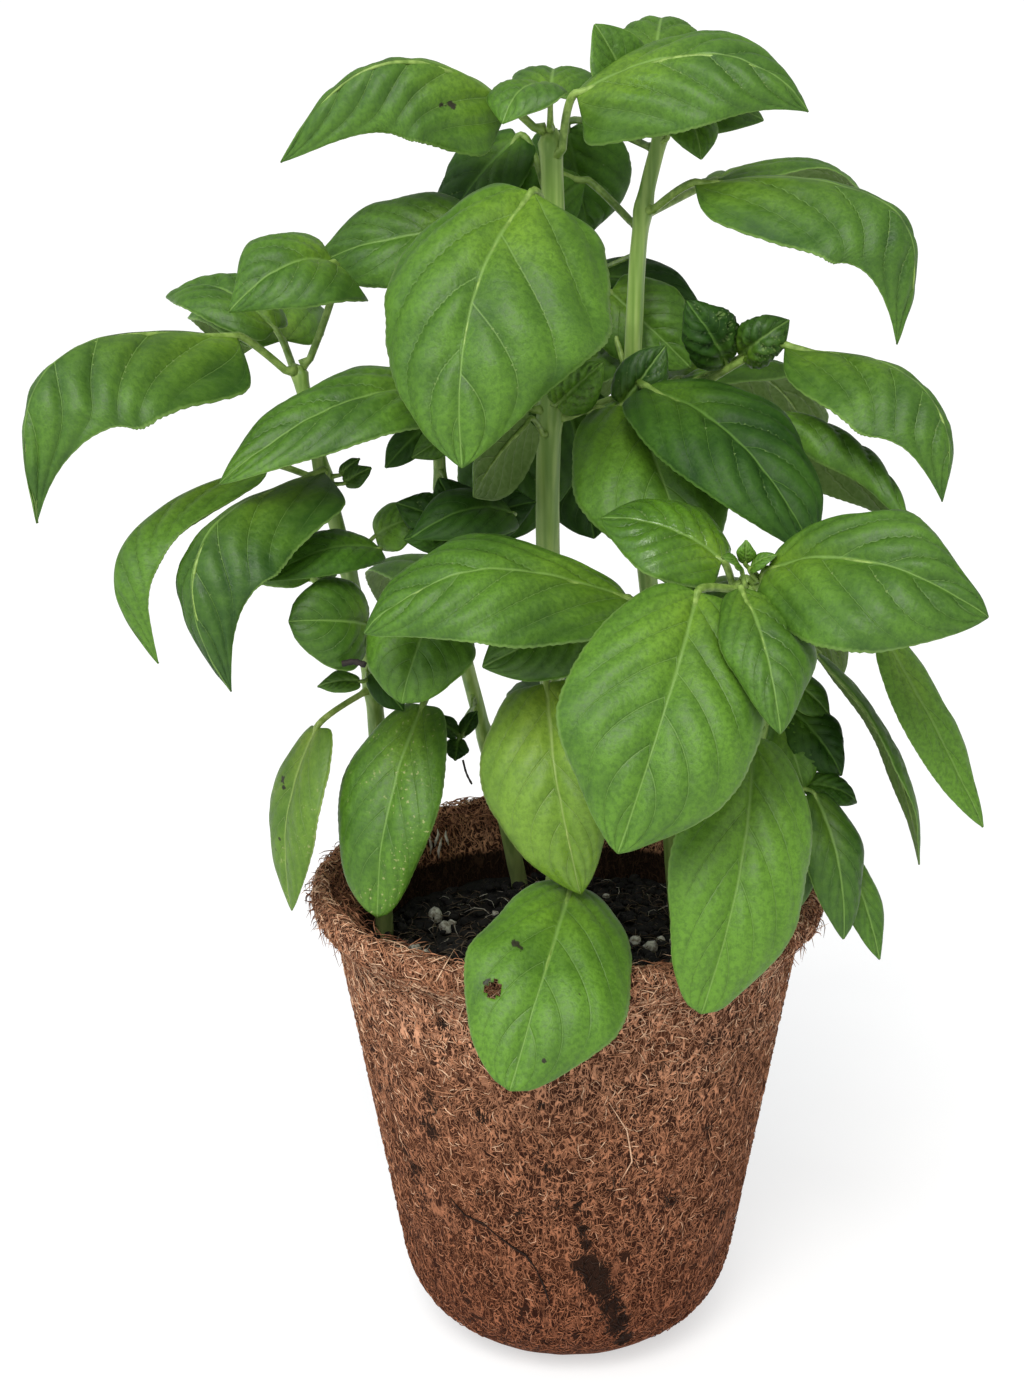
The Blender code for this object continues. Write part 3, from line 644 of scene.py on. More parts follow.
class Stem:
    """A stem's route and thickness, for the piece itself and for what grows on it."""

    def __init__(self, node_name, foot_radius, top_radius, places, nodes_at):
        foot = np.array([places[0][0], places[0][1], SOIL_TOP - SOCKET_DEPTH + 1.0])
        self.route = np.vstack([foot, smooth_route(places, 12)])
        share = np.linspace(0, 1, len(self.route))
        self.size = foot_radius + (top_radius - foot_radius) * share
        swollen = self.size.copy()
        for level in nodes_at:
            swollen += NODE_SWELLING * np.exp(-((self.route[:, 2] - level) / NODE_SPREAD) ** 2)
        swollen += 0.12 * bumpy(self.route, 9.0, 3.0)
        swollen[-1] *= 0.55
        points, faces = tube(self.route, swollen, STEM_SIDES, 0.055, 0.6)
        piece = make_piece(node_name.replace("stem", "shoot"), points, faces, [green_stem])
        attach(piece, "root")
        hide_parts(node_name)

    def at(self, level):
        """Centre, radius and direction at a height."""
        above = min(int(np.searchsorted(self.route[:, 2], level)), len(self.route) - 1)
        start, end = self.route[above - 1], self.route[above]
        share = min((level - start[2]) / (end[2] - start[2]), 1.0)
        return start + (end - start) * share, self.size[above], unit(end - start)


left = Stem("stem_left", 2.4, 1.8,
            [(-51, 12, 113), (-51, 6, 160), (-52, -2, 190), (-57, -8, 222), (-63, -11, 250), (-68, -12, 276)],
            (188, 205, 225, 247, 275))
back = Stem("stem_back_left", 2.3, 1.5,
            [(-13, 48, 113), (-20, 40, 150), (-30, 24, 200), (-33, 8, 240), (-33, -2, 262)],
            (160, 197, 240))
middle = Stem("stem_middle", 3.4, 2.8,
              [(2, 14, 113), (-3, 10, 170), (-5, 3, 236), (-3, 0, 290), (-4, 0, 333)],
              (210, 261, 295, 330))
right = Stem("stem_right", 2.7, 1.9,
             [(32, 17, 113), (26, 14, 180), (18, 10, 250), (18, 9, 290), (20, 9, 313), (25, 9, 334)],
             (200, 256, 312, 332))
rosette = Stem("stem_rosette", 2.6, 2.2,
               [(30, -14, 113), (38, -24, 145), (47, -38, 185), (46, -50, 213), (41, -58, 232)],
               (170, 195, 228))
front = Stem("stem_front", 2.4, 2.0,
             [(-2, -22, 113), (-4, -26, 150), (-5, -28, 185), (-4, -30, 213)],
             (140, 200, 211))


# ---------------------------------------------------------------------------
# The leaves.  Soft, broad and arched, each one sheet of tissue with its stalk:
# five or six pairs of side veins pull the blade down into shallow furrows, the
# blade puffs up between them, and the margin is thin, pale and finely toothed.
# ---------------------------------------------------------------------------

BLADE_THICK = 0.45
TIP_HALF_WIDTH = 0.3
STALK_RADIUS = 0.95
STALK_SIDES = 8
STALK_STEPS = 9
STALK_ROOT = 0.6
STALK_GAP = 0.5
STALK_COLLAR = 1.5
RIB_TIP_RADIUS = 0.18


def from_leaf(tree, attribute):
    """The three numbers that a leaf carries at each point under a name."""
    carried = node(tree, "Attribute", {"attribute_name": attribute}).outputs["Vector"]
    return node(tree, "SeparateXYZ", i0=carried).outputs


def vein_net(tree, place, scale):
    """How far a point is from the nearest line of a net."""
    net = node(tree, "TexVoronoi", {"feature": "DISTANCE_TO_EDGE"}, Vector=place, Scale=scale)
    return net.outputs["Distance"]


def let_light_through(tree, output, shader, tint):
    """A skin that lets a fifth of the light through, tinted."""
    through = node(tree, "BsdfTranslucent", Color=tint)
    blend = node(tree, "MixShader", i0=0.2, i1=shader.outputs[0], i2=through.outputs[0])
    tree.links.new(blend.outputs[0], output.inputs[0])


def leaf_face(name, dark, fresh, yellow, vein_colour, gloss, shine=0.42):
    """The upper side: satin green, with pale veins, a fine net between them and a thin pale margin."""
    material, tree, output = new_material(name)
    order, out, along = from_leaf(tree, "veins")
    flat_place = node(tree, "Attribute", {"attribute_name": "flat"}).outputs["Vector"]
    from_middle = sums(tree, "ABSOLUTE", from_leaf(tree, "flat")[0])
    # The given tone carries painted light and shade as well as the leaf's own colour.
    given_tone, own_young, own_specks = from_leaf(tree, "own")
    scarred, wetted, _ = from_leaf(tree, "touched")
    from_side_vein = sums(tree, "PINGPONG", order, 0.5)
    thin = ramped(tree, out, 0.0, 1.0, 0.050, 0.030)
    side_vein = sums(tree, "SUBTRACT", 1.0, sums(tree, "DIVIDE", from_side_vein, thin), clamp=True)
    side_vein = sums(tree, "MULTIPLY", side_vein, ramped(tree, out, 0.60, 0.92, 1.0, 0.0))
    puffed = ramped(tree, from_side_vein, 0.03, 0.38)
    middle_half = ramped(tree, along, 0.0, 1.0, 0.55, 0.20)
    middle_vein = sums(tree, "SUBTRACT", 1.35, sums(tree, "DIVIDE", from_middle, middle_half), clamp=True)
    vein = sums(tree, "MAXIMUM", middle_vein, sums(tree, "MULTIPLY", side_vein, 0.8))
    net_line = ramped(tree, vein_net(tree, flat_place, 0.42), 0.0, 0.14, 1.0, 0.0)
    fine_line = ramped(tree, vein_net(tree, flat_place, 1.3), 0.0, 0.2, 1.0, 0.0)
    cloud = node(tree, "TexNoise", Vector=flat_place, Scale=0.07, Detail=3.0, Roughness=0.6).outputs["Fac"]
    fine = node(tree, "TexNoise", Vector=flat_place, Scale=0.9, Detail=3.0, Roughness=0.7).outputs["Fac"]
    clouding = sums(tree, "MULTIPLY", sums(tree, "SUBTRACT", cloud, 0.5), 1.3)
    # Painted light and shade: the blade is lighter on the puffs between the side veins and darker next to
    # them.
    puff_light_and_shade = sums(tree, "MULTIPLY", sums(tree, "SUBTRACT", puffed, 0.6), 0.14)
    tone = sums(tree, "ADD", sums(tree, "ADD", given_tone, clouding), puff_light_and_shade, clamp=True)
    colour = mixed(tree, tone, (*dark, 1.0), (*fresh, 1.0))
    near_foot = ramped(tree, along, 0.0, 0.55, 1.0, 0.0)
    young = sums(tree, "MULTIPLY", near_foot, ramped(tree, out, 0.0, 0.9, 1.0, 0.1))
    young = sums(tree, "MULTIPLY", young, ramped(tree, cloud, 0.3, 0.7, 0.35, 1.0))
    colour = mixed(tree, sums(tree, "MULTIPLY", young, own_young), colour, (*yellow, 1.0))
    colour = mixed(tree, ramped(tree, fine, 0.34, 0.62, 0.42, 0.0), colour, (*dark, 1.0))
    colour = mixed(tree, sums(tree, "MULTIPLY", net_line, 0.05), colour, (*vein_colour, 1.0))
    colour = mixed(tree, sums(tree, "MULTIPLY", fine_line, 0.07), colour, (*dark, 1.0))
    # Painted shade: the furrows along the side veins are darkened.
    colour = mixed(tree, sums(tree, "MULTIPLY", side_vein, 0.36), colour, (*dark, 1.0))
    pale_line = ramped(tree, from_side_vein, 0.0, sums(tree, "MULTIPLY", thin, 0.45), 0.62, 0.0)
    pale_line = sums(tree, "MULTIPLY", pale_line, ramped(tree, out, 0.60, 0.95, 1.0, 0.0))
    colour = mixed(tree, pale_line, colour, (*vein_colour, 1.0))
    colour = mixed(tree, sums(tree, "MULTIPLY", middle_vein, 0.7), colour, (*vein_colour, 1.0))
    colour = mixed(tree, ramped(tree, out, 0.955, 0.99, 0.0, 0.75), colour, (*vein_colour, 1.0))
    specks = node(tree, "TexNoise", Vector=flat_place, Scale=0.95, Detail=2.0, Roughness=0.5).outputs["Fac"]
    speckled = sums(tree, "MULTIPLY", ramped(tree, specks, 0.62, 0.70), own_specks)
    speckled = sums(tree, "MULTIPLY", speckled, ramped(tree, cloud, 0.48, 0.60))
    colour = mixed(tree, speckled, colour, (0.40, 0.42, 0.16, 1.0))
    torn = sums(tree, "ADD", scarred, sums(tree, "MULTIPLY", sums(tree, "SUBTRACT", fine, 0.5), 1.1))
    colour = mixed(tree, ramped(tree, torn, 0.42, 0.62), colour, (0.020, 0.018, 0.006, 1.0))
    relief = sums(tree, "SUBTRACT", sums(tree, "MULTIPLY", fine, 0.9), sums(tree, "MULTIPLY", vein, 0.8))
    rise = node(tree, "Bump", Height=relief, Strength=0.55, Distance=0.00035).outputs[0]
    rough = ramped(tree, fine, 0.25, 0.8, gloss + 0.07, gloss + 0.22)
    wet = ramped(tree, sums(tree, "ADD", wetted, sums(tree, "MULTIPLY", fine, 1.2)), 1.25, 1.6)
    rough = sums(tree, "SUBTRACT", rough, sums(tree, "MULTIPLY", wet, 0.30))
    shader = node(tree, "BsdfPrincipled", Base_Color=colour, Roughness=rough, Normal=rise)
    shader.inputs["Specular IOR Level"].default_value = shine
    let_light_through(tree, output, shader, mixed(tree, 0.65, colour, (0.32, 0.50, 0.05, 1.0)))
    return material


def leaf_back(name, pale, vein_colour):
    """The underside: paler, matt, with the veins standing out."""
    material, tree, output = new_material(name)
    order, out, _ = from_leaf(tree, "veins")
    flat_place = node(tree, "Attribute", {"attribute_name": "flat"}).outputs["Vector"]
    from_side_vein = sums(tree, "PINGPONG", order, 0.5)
    side_vein = ramped(tree, from_side_vein, 0.02, 0.09, 1.0, 0.0)
    side_vein = sums(tree, "MULTIPLY", side_vein, ramped(tree, out, 0.75, 0.97, 1.0, 0.0))
    net_line = ramped(tree, vein_net(tree, flat_place, 0.42), 0.0, 0.16, 1.0, 0.0)
    fine = node(tree, "TexNoise", Vector=flat_place, Scale=0.9, Detail=3.0).outputs["Fac"]
    colour = mixed(tree, ramped(tree, fine, 0.3, 0.7, 0.0, 0.35), (*pale, 1.0), (*vein_colour, 1.0))
    line = sums(tree, "MAXIMUM", side_vein, sums(tree, "MULTIPLY", net_line, 0.45))
    colour = mixed(tree, sums(tree, "MULTIPLY", line, 0.6), colour, (*vein_colour, 1.0))
    rise = node(tree, "Bump", Height=side_vein, Strength=0.6, Distance=0.0005).outputs[0]
    shader = node(tree, "BsdfPrincipled", Base_Color=colour, Roughness=0.62, Normal=rise)
    shader.inputs["Specular IOR Level"].default_value = 0.3
    shader.inputs["Sheen Weight"].default_value = 0.12
    let_light_through(tree, output, shader, mixed(tree, 0.5, colour, (0.34, 0.48, 0.08, 1.0)))
    return material


def stalk_skin(name, low, high):
    """A juicy pale green stalk, finely ribbed."""
    material, tree, output = new_material(name)
    place = node(tree, "TexCoord").outputs["Object"]
    streak = node(tree, "TexNoise", Vector=place, Scale=500.0, Detail=2.0).outputs["Fac"]
    colour = mixed(tree, ramped(tree, streak, 0.3, 0.7), (*low, 1.0), (*high, 1.0))
    rise = node(tree, "Bump", Height=streak, Strength=0.3, Distance=0.0003).outputs[0]
    shader = node(tree, "BsdfPrincipled", Base_Color=colour, Roughness=0.45, Normal=rise)
    shader.inputs["Specular IOR Level"].default_value = 0.4
    tree.links.new(shader.outputs[0], output.inputs[0])
    return material


# The three skins of each kind of leaf: upper side, underside and stalk.
LEAF_SKINS = {
    "leaf_green": [
        leaf_face("leaf_green_face", (0.018, 0.068, 0.005), (0.125, 0.285, 0.020), (0.235, 0.40, 0.022),
                  (0.21, 0.37, 0.075), 0.36),
        leaf_back("leaf_green_back", (0.115, 0.21, 0.035), (0.23, 0.34, 0.10)),
        stalk_skin("leaf_green_stalk", (0.12, 0.21, 0.028), (0.25, 0.37, 0.08))],
    # A darker copy of the green skin: painted shade for the leaves that sit deep in the plant.
    "leaf_dark_green": [
        leaf_face("leaf_dark_shaded_face", (0.012, 0.05, 0.004), (0.075, 0.20, 0.014), (0.13, 0.27, 0.016),
                  (0.12, 0.25, 0.04), 0.42, 0.25),
        leaf_back("leaf_dark_shaded_back", (0.08, 0.16, 0.025), (0.17, 0.27, 0.07)),
        stalk_skin("leaf_dark_shaded_stalk", (0.09, 0.17, 0.02), (0.19, 0.29, 0.06))],
    "leaf_yellow_green": [
        leaf_face("leaf_yellow_face", (0.055, 0.135, 0.010), (0.19, 0.34, 0.030), (0.33, 0.44, 0.035),
                  (0.31, 0.43, 0.11), 0.34),
        leaf_back("leaf_yellow_back", (0.17, 0.26, 0.05), (0.30, 0.39, 0.12)),
        stalk_skin("leaf_yellow_stalk", (0.19, 0.28, 0.05), (0.33, 0.43, 0.11))],
}


def outline(s, widest, blunt, tip_round):
    """Half-width, 0 to 1, along the midrib from foot to tip."""
    power = math.log(0.5) / math.log(widest)
    return np.clip(np.sin(math.pi * s ** power), 0, 1) ** (blunt + (tip_round - blunt) * s)


def half_section(v, fold, curl):
    """Across and up from the midrib, and the slope there: an arc that starts at
    the angle fold and turns down by curl on its way to the margin."""
    start = np.radians(fold)
    turn = np.radians(max(curl, 1.0))
    slope = start - turn * v
    return (np.sin(start) - np.sin(slope)) / turn, (np.cos(slope) - np.cos(start)) / turn, slope


def both(value):
    """A pair for the left and right half of a leaf."""
    return value if isinstance(value, tuple) else (value, value)


def midrib(s, foot, middle_point, tip, up):
    """The midrib's curve, and the directions along it, up from the blade and across the blade."""
    centre = (1 - s) ** 2 * foot + 2 * s * (1 - s) * middle_point + s ** 2 * tip
    tangent = unit(2 * (1 - s) * (middle_point - foot) + 2 * s * (tip - middle_point))
    normal = unit(up - (tangent @ up)[:, None] * tangent)
    return centre, tangent, normal, np.cross(tangent, normal)


def leaf_noise(flat_x, flat_y, size, seed):
    """Smooth noise over the leaf laid flat, with lumps of a size in millimetres."""
    spots = zip(flat_x.ravel(), flat_y.ravel())
    return np.array([noise.noise(Vector((x / size, y / size, seed))) for x, y in spots]).reshape(flat_x.shape)


def blade_relief(s, out, side, half, order, rough, swell, blister, length, width, seed):
    """How far each point of the blade stands up: furrows over the side veins, puffs between them, a gutter
    over the midrib, lumps, and waves towards the margin."""
    to_vein = np.abs(order - np.round(order))
    furrow = -0.75 * np.exp(-(to_vein / 0.075) ** 2) * np.clip(out / 0.15, 0, 1) * (1 - out ** 1.5)
    furrow = furrow * np.clip(s / 0.12, 0, 1)
    puff = 1.15 * np.sin(math.pi * to_vein) ** 0.8 * np.clip(out / 0.2, 0, 1) * (1 - out ** 5)
    puff = puff * np.sin(math.pi * np.clip(s * 1.08, 0, 1)) ** 0.6
    gutter = -0.6 * np.exp(-(out * half / 1.5) ** 2) * (1 - 0.7 * s)
    wave = np.sin(s * (9 + length * 0.06) + seed + side) * out ** 3
    wave = wave * np.clip(s * 4, 0, 1) * np.clip((1 - s) * 5, 0, 1)
    raised = blister * (furrow + puff + gutter + 0.4 * rough)
    raised = raised + (0.8 * swell + 0.8 * wave) * np.clip(width / 34, 0.3, 1.2)
    return raised * np.clip(s / 0.06, 0, 1) * np.clip((1 - s) / 0.05, 0.15, 1)


def free_edges(faces):
    """The edges that only one face uses, in the order that the face takes them."""
    edges = {}
    for corners in faces:
        for start, end in zip(corners, corners[1:] + corners[:1]):
            edges[(start, end)] = (end, start) not in edges
            if not edges[(start, end)]:
                edges[(end, start)] = False
    return [edge for edge, free in edges.items() if free]


def stalk_tube(stem, level, foot, middle_point, s, centre, normal, width, blister):
    """The stalk from its swollen collar on the stem to the blade, and on as the rib under the blade."""
    socket, stem_radius, upward = stem.at(level)
    away = unit(foot - socket)
    outward = unit(away - away.dot(upward) * upward)
    start = socket + outward * (stem_radius - STALK_ROOT)
    collar = start + unit(outward + 0.9 * away) * (STALK_ROOT + STALK_GAP + STALK_COLLAR)
    knee = foot - unit(middle_point - foot) * np.linalg.norm(foot - collar) * 0.2
    t = np.linspace(0, 1, STALK_STEPS)[:, None]
    stalk = (1 - t) ** 2 * collar + 2 * t * (1 - t) * knee + t ** 2 * foot
    rib_rows = np.arange(2, int((len(s) - 1) * 0.9), 3)
    stalk_girth = STALK_RADIUS * np.clip(width / 30, 0.6, 1.1)
    rib_girth = np.linspace(stalk_girth * 0.95, RIB_TIP_RADIUS, len(rib_rows))
    rib_share = s[rib_rows, 0]
    sunk = 0.2 + np.clip(rib_share / 0.08, 0, 1) * (rib_girth + 0.6 * blister * (1 - 0.7 * rib_share))
    under_rib = centre[rib_rows] - normal[rib_rows] * sunk[:, None]
    route = np.vstack([start, (start + collar) / 2, stalk, under_rib])
    girth = np.full(len(route), stalk_girth)
    girth[0] *= 1.7
    girth[1] *= 1.25
    girth[-len(rib_rows):] = rib_girth
    return tube(route, girth, STALK_SIDES)


leaf_numbers = itertools.count(1)


# Tone is partly a leaf's own colour, partly painted light on leaves in others' shade and painted shade deep
# inside.
def grow(name, stem, level, foot, tip, face, width=40, arch=6, bend=0.5, sway=0, fold=20, curl=60, lean=0,
         widest=0.42, blunt=0.6, lobe=0.1, tip_round=0.75, ease=0, spacing=0.18, pucker=1.0,
         skin="leaf_green", tone=0.5, young=0.6, specks=0.0, scars=(), wet=None, hole=None, node_name=None):
    """One leaf with its stalk, on a stem at a level.  The blade runs from foot to tip in millimetres, upper
    side towards face.  Its midrib stands arch above the straight line, most at bend, and sways to the right.
    Each half starts from the midrib at the angle fold and turns down by curl.  lean widens the right half,
    lobe draws the base back past the foot, ease smooths the sides lengthwise, spacing is from vein to vein,
    and pucker is how strongly the blade puffs up between the veins.  scars, wet and hole are spots on the
    leaf laid flat: x, y and size."""
    seed = next(leaf_numbers) * 3.7
    foot, tip, face = np.array(foot, float), np.array(tip, float), np.array(face, float)
    chord = tip - foot
    length = np.linalg.norm(chord)
    direction = unit(chord)
    up = unit(face - face.dot(direction) * direction)
    middle_point = foot + bend * chord + 2 * arch * up + 2 * sway * np.cross(direction, up)

    rows = int(np.clip(length * 1.15, 26, 76))
    columns = int(np.clip(width * 0.42, 8, 20)) * 2
    s = (np.linspace(0, 1, rows + 1) ** 1.2)[:, None]
    v = np.linspace(-1, 1, columns + 1)
    v = (np.sign(v) * np.abs(v) ** 1.1)[None, :]
    out = np.abs(v)
    side = np.where(v > 0, 1.0, -1.0)
    centre, tangent, normal, across = midrib(s, foot, middle_point, tip, up)

    half = width / 2 * outline(s, widest, blunt, tip_round) * (1 + side * (out > 0) * lean)
    half = half * (1 + 0.022 * np.sin(6 * s + seed + 1.5 * side) + 0.010 * np.sin(14 * s + 2 * seed + side))
    half = np.maximum(half, np.where(s < 0.5, 1.1, TIP_HALF_WIDTH))
    teeth = 18 + length * 0.16
    tooth = (s * teeth + 0.15 * np.sin(seed + s * 21)) % 1.0
    notch = half * (0.020 * (1 - tooth) ** 1.5 - 0.007) * out ** 10
    folds, curls = both(fold), both(curl)
    left_reach, left_lift, left_slope = half_section(out, folds[0], curls[0])
    right_reach, right_lift, right_slope = half_section(out, folds[1], curls[1])
    reach = np.where(v > 0, right_reach, left_reach)
    lift = np.where(v > 0, right_lift, left_lift)
    slope = np.where(v > 0, right_slope, left_slope)
    swept = lobe * width * out ** 1.5 * (s / 0.07) * np.exp(1 - s / 0.07)
    points = (centre[:, None, :] + across[:, None, :] * (side * reach * half)[..., None]
              + normal[:, None, :] * (lift * half)[..., None] - tangent[:, None, :] * swept[..., None])
    for _ in range(ease):
        eased = (points[:-2] + points[2:]) / 2 - points[1:-1]
        points[1:-1] += 0.5 * (out ** 2)[..., None] * eased
    outward = (across[:, None, :] * (side * np.cos(slope))[..., None]
               + normal[:, None, :] * np.sin(slope)[..., None])
    points = points - outward * notch[..., None]
    surface_normal = (normal[:, None, :] * np.cos(slope)[..., None]
                      - across[:, None, :] * (np.sin(slope) * side)[..., None])

    order = (s - 0.32 * out - 0.20 * out ** 2) / spacing
    order = order + np.where(v > 0, 0.4, 0.0) + 0.18 * np.sin(5 * s + seed)
    blister = pucker * np.clip(width / 42, 0.35, 1.3)
    flat_x = v * half
    flat_y = s * length + 0 * v
    rough = leaf_noise(flat_x, flat_y, 5.5, seed)
    swell = leaf_noise(flat_x, flat_y, 16.0, seed + 9)
    raised = blade_relief(s, out, side, half, order, rough, swell, blister, length, width, seed)
    points = points + surface_normal * raised[..., None]

    top = points.reshape(-1, 3)
    under = (points - surface_normal * (BLADE_THICK * (1 - 0.55 * out ** 4))[..., None]).reshape(-1, 3)
    total = len(top)
    index = np.arange(total).reshape(rows + 1, columns + 1)
    cells = [(r, c) for r in range(rows) for c in range(columns)]
    if hole:
        hole_x, hole_y, hole_size = hole
        centre_x = (flat_x[:-1, :-1] + flat_x[1:, 1:]) / 2 + 0.5 * rough[:-1, :-1]
        centre_y = (flat_y[:-1, :-1] + flat_y[1:, 1:]) / 2 + 0.5 * rough[1:, 1:]
        torn = np.hypot(centre_x - hole_x, (centre_y - hole_y) * 0.8) < hole_size
        cells = [(r, c) for r, c in cells if not torn[r, c]]
    upper = [(index[r, c + 1], index[r + 1, c + 1], index[r + 1, c], index[r, c]) for r, c in cells]
    lower = [tuple(corner + total for corner in corners[::-1]) for corners in upper]
    rim = [(end, start, start + total, end + total) for start, end in free_edges(upper)]
    stalk_points, stalk_faces = stalk_tube(stem, level, foot, middle_point, s, centre, normal, width, blister)
    stalk_faces = [tuple(corner + 2 * total for corner in corners) for corners in stalk_faces]

    faces = [tuple(int(corner) for corner in corners) for corners in upper + lower + rim + stalk_faces]
    kinds = [0] * len(upper) + [1] * (len(lower) + len(rim)) + [2] * len(stalk_faces)
    piece = make_piece("basil_" + name, np.vstack([top, under, stalk_points]), faces, LEAF_SKINS[skin], kinds)
    scarred, wetted = 0 * flat_x, 0 * flat_x
    for scar_x, scar_y, scar_size in scars:
        scarred = np.maximum(scarred, 1.3 - np.hypot(flat_x - scar_x, flat_y - scar_y) / scar_size * 0.6)
    if wet:
        wetted = np.clip(1.2 - np.hypot(flat_x - wet[0], flat_y - wet[1]) / wet[2] * 0.6, 0, 1)
    vein_place = np.stack([order, out + 0 * s, s + 0 * v], axis=-1).reshape(-1, 3)
    flat_place = np.stack([flat_x, flat_y, np.full_like(flat_x, seed)], axis=-1).reshape(-1, 3)
    touched = np.stack([np.clip(scarred, 0, 1), wetted, 0 * flat_x], axis=-1).reshape(-1, 3)
    spare = np.zeros((len(stalk_points), 3))
    set_attribute(piece.data, "veins", np.vstack([vein_place, vein_place, spare]))
    set_attribute(piece.data, "flat", np.vstack([flat_place, flat_place, spare]))
    set_attribute(piece.data, "own", np.tile([tone, young, specks], (2 * total + len(stalk_points), 1)))
    set_attribute(piece.data, "touched", np.vstack([touched, 0 * touched, spare]))
    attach(piece, "root")
    if node_name:
        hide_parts(node_name)


def grow_leaf(name, *place, **shape):
    """A leaf that stands for the plain CAD leaf of the same name."""
    grow(name, *place, node_name="leaf_" + name, **shape)


# Top of the middle stem.
grow_leaf("top_left", middle, 333, (-14, -5, 339), (-70, -20, 327), (0, -0.3, 0.95),
          width=42, arch=19, fold=(-50, -25), curl=20, widest=0.34, blunt=0.45,
          scars=[(-9, 12, 0.8), (-10, 14.5, 0.6)])
grow_leaf("top_right", middle, 327, (2, -8, 342), (58, -20, 338), (0.05, -0.3, 0.95),
          width=47, arch=13, bend=0.64, fold=(2, -36), curl=25, lean=-0.12, widest=0.36, blunt=0.4, lobe=0.12,
          tip_round=0.85, wet=(7, 13, 6))
grow_leaf("top_front_small", middle, 333, (-5, -10, 344), (-16, -24, 336), (-0.3, -0.5, 0.8),
          width=22, arch=4, fold=10, curl=40)
grow("top_back_small", middle, 333, (-4, 5, 341), (-2, 32, 344), (0, -0.3, 0.9),
     width=22, arch=4, fold=10, curl=40)

# Top of the right stem.
grow("crown_up_left", right, 334, (17, 4, 338), (7, 2, 358), (0.5, -0.8, 0.2),
     width=19, arch=2, fold=15, curl=20, tone=0.6)
grow_leaf("crown_back", right, 334, (22, 13, 341), (28, 58, 346), (0, -0.3, 1),
          width=30, arch=15, fold=0, curl=60)
grow_leaf("crown_front", right, 329, (29, 3, 338), (33, -10, 326), (0.1, -0.5, 0.7),
          width=15, arch=3, fold=5, curl=40, tone=0.7)
grow_leaf("crown_right", right, 334, (29, 14, 337), (50, 8, 334), (0.1, -0.6, 0.7),
          width=18, arch=3, fold=5, curl=40)
grow_leaf("right_upper", right, 312, (32, -5, 320), (80, -30, 283), (0.75, -0.3, 0.6),
          width=40, arch=25, bend=0.82, fold=(-15, -38), curl=20, lean=0.15, widest=0.4, ease=20, tone=0.4,
          blunt=0.52, lobe=0.06, tip_round=0.9)
grow_leaf("crown_left", right, 308, (6, 24, 318), (-24, 22, 318), (0, -0.2, 1),
          width=42, arch=5, fold=(-60, -20), curl=20, tone=0.8, skin="leaf_dark_green")
grow_leaf("back_crown", right, 311, (40, 32, 317), (86, 70, 290), (0, 0.3, 1),
          width=42, arch=12, tone=0.5)

# Behind the middle stem.
grow_leaf("shade_back", right, 327, (1, 38, 330), (7, 46, 301), (0, -0.9, 0.3),
          width=32, arch=4, tone=0.6, skin="leaf_dark_green")
grow_leaf("shade_left", middle, 318, (-12, 16, 330), (-33, 16, 297), (-0.6, -0.6, 0.4),
          width=30, arch=5, tone=0.15, skin="leaf_dark_green")
grow_leaf("front_big", middle, 300, (-9, -25, 320), (-26, -62, 260), (-0.1, -0.8, 0.6),
          width=60, arch=11, sway=5, lean=-0.15, blunt=0.52, fold=5, curl=50, tone=0.65, lobe=0.12,
          spacing=0.23)
grow_leaf("upper_left_back", middle, 290, (-22, -4, 308), (-65, 1, 299), (0, -0.8, 0.6),
          width=28, arch=6, tone=0.5)

# Middle stem, lower node.
grow_leaf("left_mid", middle, 262, (-25, -10, 269), (-85, -45, 253), (0, -0.4, 0.9),
          width=32, arch=10)
grow_leaf("centre_cup", middle, 260, (15, 0, 265), (32, -44, 223), (-0.1, -0.6, 0.8),
          width=40, lean=0.15, arch=8, blunt=0.75, tone=0.8, pucker=0.6)
grow("crinkled_small", middle, 264, (-3, -5, 264), (9, -10, 276), (0, -1, 0.2),
     width=14, arch=2, tone=0.9, pucker=4.0)
grow("dark_small", middle, 264, (14, -4, 264), (25, -4, 279), (0, -1, 0.2),
     width=14, arch=2, tone=0.05, pucker=3.0)
grow_leaf("shade_under_left", middle, 258, (-8, 12, 262), (-20, 18, 222), (0, -1, 0.2),
          width=34, arch=2, tone=0.3, skin="leaf_dark_green")
grow_leaf("shade_under_right", right, 250, (1, 22, 260), (8, 24, 222), (0, -1, 0.2),
          width=34, arch=2, tone=0.1, skin="leaf_dark_green")
grow("pale_under", middle, 256, (-10, -12, 262), (-24, -34, 247), (0.1, 0.8, 0.4),
     width=24, arch=2, tone=0.8)
grow_leaf("back_middle", middle, 262, (0, 14, 268), (5, 75, 245), (0, 0.3, 1),
          width=44, arch=14, tone=0.5)

